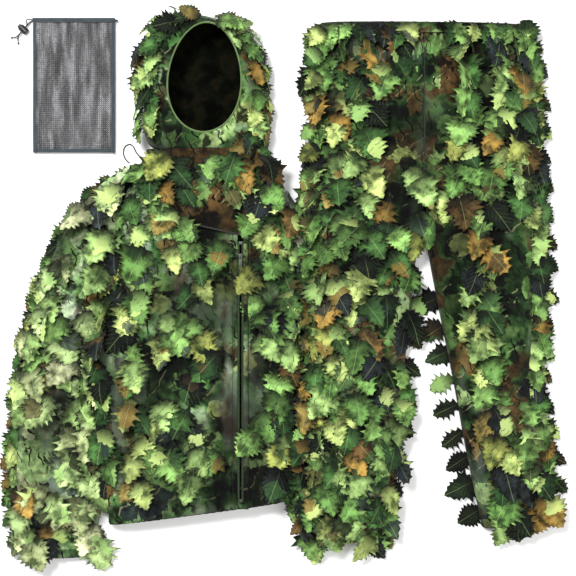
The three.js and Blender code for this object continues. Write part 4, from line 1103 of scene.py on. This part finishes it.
class SUIT_OT_hood(bpy.types.Operator):
    """Sews the hood, its face opening and the bib over the chest"""

    bl_idname = "suit.hood"
    bl_label = "Hood"

    def execute(self, context):
        thick = sizes().cloth_mm
        u = np.linspace(0, 1, 181)[:-1][None, :]
        grid = hood_surface(u, np.linspace(0, 1, 40)[:, None] ** 0.8)
        cloth("hood_front_cloth", grid, "hood", "jacket", ["hood_front_panel"], thick, closed=True)
        self.back()
        grid = bib_surface(eased(90)[None, :], np.linspace(0, 1, 60)[:, None])
        cloth("hood_bib_cloth", grid, "jacket", "throat", ["hood_bib_panel"], thick)
        turn = np.linspace(0, 1, 12)[:, None]
        for side, u, way in (("left", 1, -1), ("right", 0, 1)):
            edge = bib_surface(np.full(44, u), np.linspace(0.03, 0.6, 44))
            top, foot = edge[:, 2] - 0.8, 1.4
            grid = np.stack([edge[:, 0] + way * (0.4 + 5 * turn), edge[:, 1] + 0 * turn, top + (foot - top) * turn], -1)
            cloth(f"hood_bib_return_{side}", grid, "jacket", "throat", [], thick)
        self.binding()
        for name, u0, u1, across in (("left", 0.45, 0.63, 0.72), ("right", 0.98, 1.13, 0.72)):
            line = hood_surface(np.linspace(u0, u1, 90), np.full(90, across))
            piping(f"hood_seam_{name}", line, 0.9, "hood")
        foot = bib_surface(np.linspace(0.02, 0.98, 120), np.full(120, 0.995))
        piping("bib_edge", foot, 1.5, "jacket", "elastic")
        return {"FINISHED"}

    def back(self):
        """The back of the hood, dark inside, seen through the face opening."""
        t = np.linspace(0, 1, 121)[:-1]
        edge = closed_spline(HOOD_OUTLINE, t)[:, :2]
        centre = edge.mean(0)
        rings = [centre + (edge - centre) * s for s in np.linspace(0.001, 1, 18)]
        grid = np.array(rings)
        x, y = grid[..., 0], grid[..., 1]
        z = 1.6 + 0.0 * x
        grid = np.stack([x, y, z], -1)
        cloth("hood_back_cloth", grid, "hood", "lining", ["hood_back_panel"], 1.2, closed=True)

    def binding(self):
        """Elastic piping round the face opening."""
        columns, sides, radius = 180, 10, 1.7
        angle = np.linspace(0, 2 * math.pi, columns + 1)[:-1]
        rim = face_opening(angle, -0.6)
        out = rim - FACE_CENTRE
        out = out / np.linalg.norm(out, axis=1, keepdims=True)
        z = FACE_RIM_Z + 4 * np.sin(angle) + 0.6 + 0.5 * np.sin(angle * 45)
        loops = []
        for turn in np.linspace(0, 2 * math.pi, sides + 1)[:-1]:
            reach = radius * math.cos(turn)
            loops.append(np.column_stack([rim + out * reach, z + radius * math.sin(turn)]))
        faces = grid_faces(sides, columns, wrap_rows=True, wrap_columns=True)
        piece = mesh_object("face_opening_piping", np.array(loops).reshape(-1, 3), faces, MATERIALS["piping"])
        outward(piece)
        dress(piece, "hood", "binding", "face_opening_binding")


def piping(name, line, radius, body, finish="piping"):
    """A thin rolled edge sewn along a line of the cloth."""
    faces, points = tube_mesh(line + (0, 0, radius * 0.5), radius, 8)
    piece = mesh_object(f"{name}_piping", points, faces, MATERIALS[finish])
    outward(piece)
    return dress(piece, body, "binding")


class SUIT_OT_trousers(bpy.types.Operator):
    """Sews the trousers' legs, waistband and ankle edges"""

    bl_idname = "suit.trousers"
    bl_label = "Trousers"

    def execute(self, context):
        thick = sizes().cloth_mm
        for side, tube in (("left", LEG_LEFT), ("right", LEG_RIGHT)):
            grid = tube(eased(64)[None, :], np.linspace(0.02, 0.98, 230)[:, None])
            cloth(f"trouser_{side}_front_cloth", grid, "trousers", "trousers", [f"trouser_{side}_front_panel"], thick)
            back_cloth(f"trouser_{side}_back", tube, 0.02, 0.98, "trousers", "trousers",
                       [f"trouser_{side}_back_panel"])
            band(f"trouser_{side}_ankle", tube, 0.97, 1.0, MATERIALS["trousers"], "trousers",
                 [f"trouser_{side}_ankle_band"], pleats=22)
        band("waistband", WAIST, 0.0, 0.62, MATERIALS["trousers"], "trousers", ["waistband_casing"], pleats=56,
             pucker_mm=2.4)
        elastic("waist", WAIST, 0.05, 0.55, "trousers", "waist_elastic")
        seam = LEG_RIGHT(np.full(200, 0.985), np.linspace(0.03, 0.96, 200))
        piping("trouser_right_outseam", seam, 1.0, "trousers")
        rise = LEG_RIGHT(np.full(80, 0.012), np.linspace(0.03, 0.3, 80))
        piping("trouser_rise", rise, 0.9, "trousers", "elastic")
        return {"FINISHED"}


class SUIT_OT_leaves(bpy.types.Operator):
    """Sews the runs of die-cut leaves on the jacket, hood and trousers"""

    bl_idname = "suit.leaves"
    bl_label = "Leaves"

    def execute(self, context):
        self.pitch = sizes().leaf_pitch_mm
        self.jacket()
        self.hood()
        self.trousers()
        self.fringes()
        return {"FINISHED"}

    def run(self, name, cloth, surface, across, v0, v1, seed, nodes=(), bare=(), pitch=1.0, **words):
        """A run down a cloth: across holds its place from side to side, at even steps along it."""
        bed = LeafBed(seed)
        wander = bed.rng.uniform(-0.015, 0.015, 2)
        stations = np.array(across, float)[:, None]

        def line(t):
            sway = wander[0] * math.sin(9 * t) + wander[1] * math.sin(17 * t)
            u = float(spline(stations, t)[0]) if len(stations) > 1 else stations[0, 0]
            return min(max(u + sway, 0.005), 0.995), v0 + (v1 - v0) * t

        leaf_line(bed, surface, line, self.pitch * pitch, bare, **words)
        self.sew(bed, name, cloth, *nodes)

    def sew(self, bed, name, cloth, *nodes):
        """Makes a run's mesh on its cloth's body."""
        bed.finish(name, CLOTHS[cloth]["body"], *nodes)
        CLOTHS[cloth]["runs"].append(bpy.data.objects[name])

    def jacket(self):
        bare = [
            (-130, -10, 24, 95), (-140, -215, 38, 80), (-232, 15, 22, 48), (-272, -140, 24, 58), (-64, -150, 20, 60),
        ]
        stood = {0: ["jacket_leaves_right_side"], 1: ["jacket_leaves_right_chest"], 6: ["jacket_leaves_left_side"]}
        runs = [(0.03, 0.97, 1.1), (0.18, 0.95, 1.3), (0.33, 0.78, 1.3), (0.48, 0.66, 1.4), (0.62, 0.66, 1.8),
                (0.8, 0.74, 1.4), (0.93, 0.9, 1.2)]
        for i, (u, top, pitch) in enumerate(runs):
            cloth = "jacket_front_right_cloth" if u < 0.7 else "jacket_front_left_cloth"
            self.run(f"jacket_leaf_run_{i + 1}", cloth, TORSO, [u], top, 0.085, 100 + i, stood.get(i, ()), bare, pitch)
        bare = [(-408, 60, 34, 80), (-500, -300, 38, 95)]
        names = ["sleeve_right_leaves_outer"]
        for i, (u, pitch) in enumerate([(0.12, 1.05), (0.4, 1.5), (0.68, 1.6), (0.92, 1.2)]):
            self.run(f"sleeve_right_leaf_run_{i + 1}", "sleeve_right_front_cloth", SLEEVE_RIGHT, [u], 0.01, 0.885,
                     120 + i, names[i : i + 1], bare, pitch, palette=PALE, length=(62, 92))
        for i, u in enumerate([0.06, 0.3, 0.62, 0.9]):
            self.run(f"sleeve_left_leaf_run_{i + 1}", "sleeve_left_front_cloth", SLEEVE_LEFT, [u], 0.01, 0.93,
                     140 + i, ["sleeve_left_leaves"] if i == 1 else ())

    def hood(self):
        for name, node_name, rings, seed in (
            ("hood_leaf_run_crown", "hood_leaves_crown", [(0.5, 0.12, 0.44), (0.96, 0.02, 0.46)], 160),
            ("hood_leaf_run_right", "hood_leaves_right", [(0.6, 0.40, 0.62), (0.93, 0.42, 0.62)], 161),
            ("hood_leaf_run_left", None, [(0.66, 0.92, 1.14), (0.95, 0.90, 1.12)], 162),
        ):
            bed = LeafBed(seed)
            for across, u0, u1 in rings:
                leaf_line(bed, hood_surface, lambda t: (u0 + (u1 - u0) * t, across), self.pitch * 0.72,
                          spread=(0.0, 0.5), down=round_the_face, length=(46, 66))
            self.sew(bed, name, "hood_front_cloth", *([node_name] if node_name else []))
        bare = [(-176, 214, 40, 84), (-94, 140, 52, 62)]
        for i, (u, pitch) in enumerate([(0.04, 0.9), (0.2, 0.9), (0.6, 0.9), (0.76, 0.9), (0.94, 0.9)]):
            self.run(f"bib_leaf_run_{i + 1}", "hood_bib_cloth", bib_surface, [u], 0.0, 0.93, 170 + i, (), bare, pitch)

    def trousers(self):
        bare = [(208, 300, 26, 110), (176, -60, 18, 60)]
        for i, (u, top, foot) in enumerate([(0.03, 0.0, 0.97), (0.2, 0.0, 0.97), (0.45, 0.0, 0.97),
                                            (0.7, 0.0, 0.97), (0.93, 0.26, 0.95)]):
            self.run(f"trouser_left_leaf_run_{i + 1}", "trouser_left_front_cloth", LEG_LEFT, [u], top, foot, 200 + i,
                     ["trouser_left_leaves_outer"] if i == 1 else (), bare, [1, 1, 1.05, 1.1, 1.5][i])
        bare = [(308, 350, 32, 110), (356, -10, 34, 180), (452, -60, 30, 170)]
        main = [0.72, 0.72, 0.64, 0.56, 0.48, 0.44, 0.43, 0.42, 0.4]
        side = [0.93, 0.92, 0.92, 0.9, 0.9, 0.88]
        inner = [0.42, 0.40, 0.36, 0.3]
        for i, (across, top, foot, pitch) in enumerate([
            (main, 0.0, 0.97, 0.9), (side, 0.0, 0.36, 0.9), (inner, 0.0, 0.34, 0.9), ([0.8], 0.72, 0.97, 1.1),
        ]):
            self.run(f"trouser_right_leaf_run_{i + 1}", "trouser_right_front_cloth", LEG_RIGHT, across, top, foot,
                     220 + i, ["trouser_right_leaves_outer"] if i == 0 else (), bare if i != 0 else (), pitch)

        bed = LeafBed(230)
        leaf_line(bed, WAIST, lambda t: (0.02 + 0.96 * t, 0.05), 40, [(292, 530, 30, 60)], (0.0, 0.5), length=(48, 66))
        self.sew(bed, "waist_leaf_run", "waistband_gathers")

    def fringes(self):
        """Runs that stand out from the side seams and the inseams."""
        leg, sleeve = LEG_RIGHT.right[:-1, :2], SLEEVE_RIGHT.left[:-1, :2]
        bed = LeafBed(240)
        fringe(bed, leg + (6, 0), 9, 0.95, 56, 50, SHADED, 0.05)
        fringe(bed, leg + (7, 20), 20, 0.2, 28, 56)
        self.sew(bed, "trouser_right_fringe_outer", "trouser_right_front_cloth", "trouser_right_seam_leaves")
        bed = LeafBed(241)
        fringe(bed, LEG_RIGHT.left[6:, :2] + (4, 0), 5, -1.05, 54, 62, SHADED, 0.02)
        self.sew(bed, "trouser_right_fringe_inner", "trouser_right_front_cloth", "trouser_right_inseam_leaves")
        bed = LeafBed(242)
        fringe(bed, LEG_LEFT.left[:, :2] + (4, 0), 44, -0.75, 46, 50)
        self.sew(bed, "trouser_left_fringe_outer", "trouser_left_front_cloth", "trouser_left_seam_leaves")
        bed = LeafBed(243)
        fringe(bed, LEG_LEFT.right[6:, :2] + (-6, 0), 8, 0.8, 62, 46, SHADED, 0.02)
        self.sew(bed, "trouser_left_fringe_inner", "trouser_left_front_cloth")
        bed = LeafBed(244)
        fringe(bed, sleeve + (5, 0), 8, -0.75, 40, 50)
        fringe(bed, sleeve[:-1] + (8, 0), 16, -0.3, 44, 54)
        self.sew(bed, "sleeve_right_fringe", "sleeve_right_front_cloth", "sleeve_right_seam_leaves")
        bed = LeafBed(245)
        fringe(bed, SLEEVE_LEFT.right[5:, :2] + (-4, 0), 8, 0.7, 34, 52)
        self.sew(bed, "sleeve_left_fringe", "sleeve_left_front_cloth")


class SUIT_OT_zip(bpy.types.Operator):
    """Makes the zip's coils and gives its metal and tapes their finish"""

    bl_idname = "suit.zip"
    bl_label = "Zip"

    def execute(self, context):
        for side, way in (("left", 1), ("right", -1)):
            self.coil(side)
            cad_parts[f"zip_tape_{side}"].material_slots[0].material = MATERIALS["tape"]
            self.placket(side, way)
        for name, body in (("zip_slider", "zip_slider"), ("zip_pull_tab", "zip_pull"), ("zip_bottom_box", "jacket"),
                           ("zip_top_stop", "jacket")):
            softened(name, "zinc", body, "zip_metal", 0.3)
        return {"FINISHED"}

    def placket(self, side, way):
        """The fold of jacket cloth that lies over the outer half of a zip tape."""
        low, high = (np.array(corner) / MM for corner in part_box(f"zip_tape_{side}"))
        middle = (low[0] if way > 0 else high[0]) - way * 1.5
        y = np.linspace(low[1] - 14, high[1] + 18, 260)
        fold = [(16, -2.6), (14.2, 1.2), (11, 3.0), (8, 3.2), (6.2, 2.2), (5.8, 1.2), (6.6, 0.5), (10, 0.9),
                (13, 0.4), (15.2, -3.0)]
        sway = 0.8 * ripple(y, y * 0, 90, 91 + way) + 0.35 * ripple(y, y * 0, 26, 93 + way)
        grid = np.array([
            np.column_stack([middle + way * (x + np.maximum(sway, -0.4)), y, high[2] + z + 0.5 * sway * (x > 7)])
            for x, z in fold
        ])
        faces = [*grid_faces(len(fold), len(y), wrap_rows=True), *[
            tuple(k * len(y) + end for k in range(len(fold)))[::turn] for end, turn in ((0, 1), (len(y) - 1, -1))
        ]]
        piece = mesh_object(f"zip_placket_{side}", grid.reshape(-1, 3), faces, MATERIALS["jacket"])
        outward(piece)
        dress(piece, "jacket", "printed_cloth")

    def coil(self, side):
        """A nylon coil: one slanted loop after another, sewn flat on its tape."""
        low, high = (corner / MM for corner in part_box(f"zip_coil_{side}"))
        pitch, sides = 1.6, 6
        turns = int((high[1] - low[1]) / pitch)
        t = np.linspace(0, turns, turns * 8)
        rx, rz = (high[0] - low[0]) / 2 - 0.35, (high[2] - low[2]) / 2 - 0.35
        centre = np.column_stack([
            (low[0] + high[0]) / 2 + rx * np.cos(2 * math.pi * t),
            low[1] + pitch * t,
            (low[2] + high[2]) / 2 + rz * np.sin(2 * math.pi * t),
        ])
        faces, points = tube_mesh(centre, 0.34, sides)
        piece = mesh_object(f"zip_coil_{side}_turns", points, faces, MATERIALS["coil"])
        dress(piece, "jacket", "zip_coil", f"zip_coil_{side}")


def tube_mesh(centre, radius, sides):
    """Faces and points of a round tube along a line of points, with closed ends."""
    tangent = np.gradient(centre, axis=0)
    tangent /= np.linalg.norm(tangent, axis=1, keepdims=True)
    normal = np.empty_like(centre)
    last = np.cross(tangent[0], [0.31, 0.17, 0.93])
    for i, direction in enumerate(tangent):
        last = last - direction * (last @ direction)
        last = last / np.linalg.norm(last)
        normal[i] = last
    across = np.cross(tangent, normal)
    turn = np.linspace(0, 2 * math.pi, sides + 1)[:-1]
    rings = centre[:, None] + radius * (
        np.cos(turn)[None, :, None] * normal[:, None] + np.sin(turn)[None, :, None] * across[:, None]
    )
    count = len(centre)
    body = grid_faces(count, sides, wrap_columns=True)
    ends = [tuple(range(sides))[::-1], tuple(range((count - 1) * sides, count * sides))]
    return [*body, *ends], rings.reshape(-1, 3)


class SUIT_OT_cords(bpy.types.Operator):
    """Lays the bag's drawcord and its tails, and the loop of cord at the jacket's neck"""

    bl_idname = "suit.cords"
    bl_label = "Cords"

    UPPER_TAIL = [
        (-516.6, 541.5, 12.4), (-520, 542.6, 12.2), (-524.5, 543.2, 11.4), (-528.4, 541.8, 10.4),
        (-529.4, 538, 9.6), (-528, 534, 9), (-530.1, 529.5, 8.6), (-535.3, 523.4, 8.6), (-540.5, 517.3, 8.6),
        (-544.1, 513.1, 8.6), (-548, 509.8, 7.2), (-552.4, 507.8, 4.6), (-556.4, 507.4, 2.9),
    ]
    LOWER_TAIL = [
        (-516.6, 541.5, 2.2), (-519.6, 540.8, 2.6), (-523, 538, 3.6), (-526.4, 534, 4.8), (-530.1, 529.5, 5.4),
        (-535.3, 523.4, 5.4), (-540.5, 517.3, 5.4), (-544.1, 513.1, 5.4), (-546.8, 508.8, 4.3),
        (-547.6, 503.8, 3.1), (-547, 499.4, 2.9),
    ]
    NECK_LOOP = [
        (-322, 253.5, 1.25), (-330, 262, 1.25), (-334, 274, 1.25), (-331, 286, 1.25), (-322, 291.5, 1.25),
        (-314, 287, 1.25), (-309, 277, 1.25), (-302, 268, 1.25), (-292, 262.5, 1.25),
    ]

    def execute(self, context):
        diameter = sizes().cord_diameter
        for name, route, body, stood, far_end in (
            ("bag_cord_upper", self.UPPER_TAIL, "bag", "bag_cord_upper_tail", "knot"),
            ("bag_cord_lower", self.LOWER_TAIL, "bag", "bag_cord_lower_tail", "knot"),
            ("neck_loop", self.NECK_LOOP, "jacket", "neck_cord_loop", "object"),
        ):
            line = spline(route, np.linspace(0, 1, 90))
            faces, points = tube_mesh(line, diameter / MM / 2, 12)
            piece = mesh_object(f"{name}_cord", points, faces, MATERIALS["cord"])
            outward(piece)
            dress(piece, body, "cord", stood)
            knot = []
            if far_end == "knot":
                node_name = f"{name}_knot"
                knot = [self.knot(node_name, diameter / MM / 2)]
        return {"FINISHED"}

    def knot(self, name, radius):
        """An overhand knot: the cord's last few millimetres drawn up in a three-lobed turn."""
        low, high = (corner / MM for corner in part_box(name))
        centre = (np.array(low) + np.array(high)) / 2
        t = np.linspace(0, 2 * math.pi, 90)
        size = (high[0] - low[0]) / 2 - radius * 0.8
        turns = np.column_stack([
            size * 0.42 * (np.sin(t) + 1.15 * np.sin(2 * t)),
            size * 0.42 * (np.cos(t) - 1.15 * np.cos(2 * t)),
            -size * 0.5 * np.sin(3 * t),
        ])
        faces, points = tube_mesh(centre + turns, radius * 0.82, 10)
        piece = mesh_object(f"{name}_turns", points, faces, MATERIALS["cord"])
        outward(piece)
        return dress(piece, "bag", "cord", name)


class SUIT_OT_bag(bpy.types.Operator):
    """Knits the storage bag's net and sews its bindings, casing and drawcord"""

    bl_idname = "suit.bag"
    bl_label = "Storage bag"

    def execute(self, context):
        self.net("bag_front_mesh", 1.0, 3)
        self.net("bag_back_mesh", 0.15, 4)
        for name in ("bag_left_binding", "bag_right_binding"):
            self.tape(name, along=1)
        self.tape("bag_foot_binding", along=0)
        for name in ("bag_front_casing", "bag_back_casing"):
            self.casing(name)
        self.drawcord()
        return {"FINISHED"}

    def drawcord(self):
        """The drawcord in its channels: along the front one, round the bag's corner and back."""
        front, back = (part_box(f"bag_{name}_casing") for name in ("front", "back"))
        z0, z1 = ((low[2] + high[2]) / 2 / MM for low, high in (back, front))
        left, right, y = front[0][0] / MM, front[1][0] / MM, (front[0][1] + front[1][1]) / 2 / MM
        radius = (z1 - z0) / 2
        turn = np.linspace(math.pi / 2, -math.pi / 2, 24)
        bend = np.column_stack([right + 0.5 + radius * np.cos(turn), y + 0 * turn, z0 + radius * (1 + np.sin(turn))])
        run = np.linspace(left - 0.2, right - 0.5, 60)
        line = np.concatenate([
            np.column_stack([run, y + 0 * run, z1 + 0 * run]), bend,
            np.column_stack([run, y + 0 * run, z0 + 0 * run])[::-1],
        ])
        faces, points = tube_mesh(line, sizes().cord_diameter / MM / 2, 12)
        piece = mesh_object("bag_drawcord_braid", points, faces, MATERIALS["cord"])
        outward(piece)
        dress(piece, "bag", "cord", "bag_drawcord")

    def net(self, name, slack, seed):
        """Net cloth: a lattice of four-sided holes, with soft folds down its length."""
        low, high = (np.array(corner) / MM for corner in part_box(name))
        low[:2] -= 1.5
        high[:2] += 1.5
        pitch = sizes().net_pitch_mm
        columns, rows = (int(round((high[k] - low[k]) / pitch)) for k in (0, 1))
        x = np.linspace(low[0], high[0], columns + 1)[None, :] + np.zeros((rows + 1, 1))
        y = np.linspace(high[1], low[1], rows + 1)[:, None] + np.zeros((1, columns + 1))
        nodes = np.stack([x, y], -1)
        cell = np.stack([nodes[:-1, :-1], nodes[:-1, 1:], nodes[1:, 1:], nodes[1:, :-1]], 2)
        middle = cell.mean(2, keepdims=True)
        hole = middle + (cell - middle) * 0.62
        points = np.concatenate([nodes.reshape(-1, 2), hole.reshape(-1, 2)])
        x, y = points.T
        lift = 1.1 * ripple(x, y * 0.18, 34, seed) + 0.7 * ripple(x, y * 0.4, 15, seed + 1)
        z = (low[2] + high[2]) / 2 + slack * (lift - 0.2)
        start = nodes.shape[0] * nodes.shape[1]
        outer = grid_faces(rows + 1, columns + 1)
        inner = start + np.arange(rows * columns * 4).reshape(-1, 4)
        faces = np.concatenate([
            np.stack([outer[:, k], outer[:, (k + 1) % 4], inner[:, (k + 1) % 4], inner[:, k]], -1) for k in range(4)
        ])
        piece = mesh_object(name.replace("mesh", "net"), np.column_stack([points, z]), faces, MATERIALS["bag_mesh"])
        thick = piece.modifiers.new("yarn thickness", "SOLIDIFY")
        thick.thickness = 0.5 * MM
        thick.offset = 0
        dress(piece, "bag", "bag_mesh", name)
        flat = tuple(float(v) * MM for v in (high - low)[:2])
        CLOTHS[piece.name] = {"body": "bag", "flat": flat, "area": None, "held": "laid", "runs": []}

    def tape(self, name, along):
        """Folded binding tape: a flat rounded bar, a little wavy."""
        low, high = (np.array(corner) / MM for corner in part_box(name))
        other = 1 - along
        middle, half = (low + high) / 2, (high - low) / 2
        steps, sides = 90, 20
        s = np.linspace(0, 1, steps)
        turn = np.linspace(0, 2 * math.pi, sides + 1)[:-1]
        points = np.zeros((steps, sides, 3))
        length = low[along] + (high[along] - low[along]) * s
        wave = 0.9 * ripple(length, length * 0, 46, 5) + 0.4 * ripple(length, length * 0, 11, 6)
        points[..., along] = length[:, None]
        across = half[other] * np.sign(np.cos(turn)) * np.abs(np.cos(turn)) ** 0.5
        points[..., other] = middle[other] + across[None, :] * (1 + 0.05 * wave[:, None])
        lump = half[2] * np.sign(np.sin(turn)) * np.abs(np.sin(turn)) ** 0.6
        points[..., 2] = middle[2] + lump[None, :] * 0.92 + 0.4 * wave[:, None] * (lump[None, :] > 0)
        points[..., 2] = np.maximum(points[..., 2], 0.1)
        faces = [*grid_faces(steps, sides, wrap_columns=True), tuple(range(sides))[::-1],
                 tuple(range((steps - 1) * sides, steps * sides))]
        piece = mesh_object(f"{name}_tape", points.reshape(-1, 3), faces, MATERIALS["bag_tape"])
        outward(piece)
        dress(piece, "bag", "bag_binding", name)

    def casing(self, name):
        """The drawcord's channel: a tube of tape, puckered where it is drawn up."""
        low, high = (np.array(corner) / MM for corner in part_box(name))
        middle, half = (low + high) / 2, (high - low) / 2
        steps, sides = 150, 24
        x = np.linspace(low[0], high[0], steps)
        turn = np.linspace(0, 2 * math.pi, sides + 1)[:-1]
        pucker = 1 + 0.07 * ripple(x, x * 0, 9, 7)[:, None]
        loops = []
        for reach in (1.0, 0.82):
            y = middle[1] + half[1] * reach * np.cos(turn)[None, :] * pucker
            z = middle[2] + half[2] * reach * np.sin(turn)[None, :] * pucker
            loops.append(np.stack([np.repeat(x[:, None], sides, 1), y, z], -1))
        grid = np.concatenate([loops[0], loops[1][::-1]])
        grid[..., 2] = np.maximum(grid[..., 2], 0.1)
        faces = grid_faces(steps * 2, sides, wrap_rows=True, wrap_columns=True)
        piece = mesh_object(f"{name}_tape", grid.reshape(-1, 3), faces, MATERIALS["bag_tape"])
        outward(piece)
        dress(piece, "bag", "bag_binding", name)


class SUIT_OT_cord_lock(bpy.types.Operator):
    """Finishes the cord lock's barrel, button and spring"""

    bl_idname = "suit.cord_lock"
    bl_label = "Cord lock"

    def execute(self, context):
        softened("cord_lock_body", "lock", "cord_lock", "lock_plastic", 0.4)
        softened("cord_lock_plunger", "button", "lock_button", "lock_plastic", 0.4)
        self.spring()
        return {"FINISHED"}

    def spring(self):
        """The coil spring under the button."""
        turn, middle, foot, rise, radius, wire = 0.864, (-535.0, 523.0, 7.0), -6.65, 2.5, 3.2, 0.35
        side = np.array([math.cos(turn), math.sin(turn), 0])
        axis = np.array([-math.sin(turn), math.cos(turn), 0])
        t = np.linspace(0, 1, 140)[:, None]
        swing = 5 * math.pi * t
        line = middle + radius * (np.cos(swing) * side + np.sin(swing) * (0, 0, 1)) + (foot + rise * t) * axis
        faces, points = tube_mesh(line, wire, 10)
        piece = mesh_object("cord_lock_spring_coil", points, faces, MATERIALS["wire"])
        outward(piece)
        dress(piece, "cord_lock", "spring_steel", "cord_lock_spring")
        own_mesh(piece)


class SUIT_OT_soft(bpy.types.Operator):
    """Gathers, for every panel of cloth, its area and the leaves sewn on it; nothing takes them up"""

    bl_idname = "suit.soft"
    bl_label = "Cloth sizes"

    def execute(self, context):
        for name, made in CLOTHS.items():
            words = {"with_pieces": made["runs"]} if made["runs"] else {}
            if made["area"]:
                words["area"] = min(made["area"], made["flat"][0] * made["flat"][1])
        return {"FINISHED"}


class SUIT_PT_panel(bpy.types.Panel):
    """Lists the suit's operators"""

    bl_label = "Leafy Suit"
    bl_idname = "SUIT_PT_panel"
    bl_space_type = "VIEW_3D"
    bl_region_type = "UI"
    bl_category = "Leafy Suit"

    def draw(self, context):
        for name in SuitSizes.__annotations__:
            self.layout.prop(context.scene.suit_sizes, name)
        self.layout.prop(context.scene.suit_colours, "ground")
        for operator in OPERATORS:
            self.layout.operator(operator.bl_idname)


OPERATORS = (
    SUIT_OT_stage, SUIT_OT_cords, SUIT_OT_jacket, SUIT_OT_hood, SUIT_OT_trousers, SUIT_OT_zip, SUIT_OT_leaves,
    SUIT_OT_bag, SUIT_OT_cord_lock, SUIT_OT_soft,
)
CLASSES = (SuitSizes, SuitColours, *OPERATORS, SUIT_PT_panel)


def register():
    """Registers the classes and the scene's settings."""
    for cls in CLASSES:
        bpy.utils.register_class(cls)
    bpy.types.Scene.suit_sizes = bpy.props.PointerProperty(type=SuitSizes)
    bpy.types.Scene.suit_colours = bpy.props.PointerProperty(type=SuitColours)


def unregister():
    """Removes the scene's settings and the classes."""
    del bpy.types.Scene.suit_sizes
    del bpy.types.Scene.suit_colours
    for cls in reversed(CLASSES):
        bpy.utils.unregister_class(cls)


def main():
    """Builds the whole suit in order."""
    register()
    make_materials()
    for operator in OPERATORS:
        group, name = operator.bl_idname.split(".")
        getattr(getattr(bpy.ops, group), name)()
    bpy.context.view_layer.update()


if __name__ == "__main__":
    main()
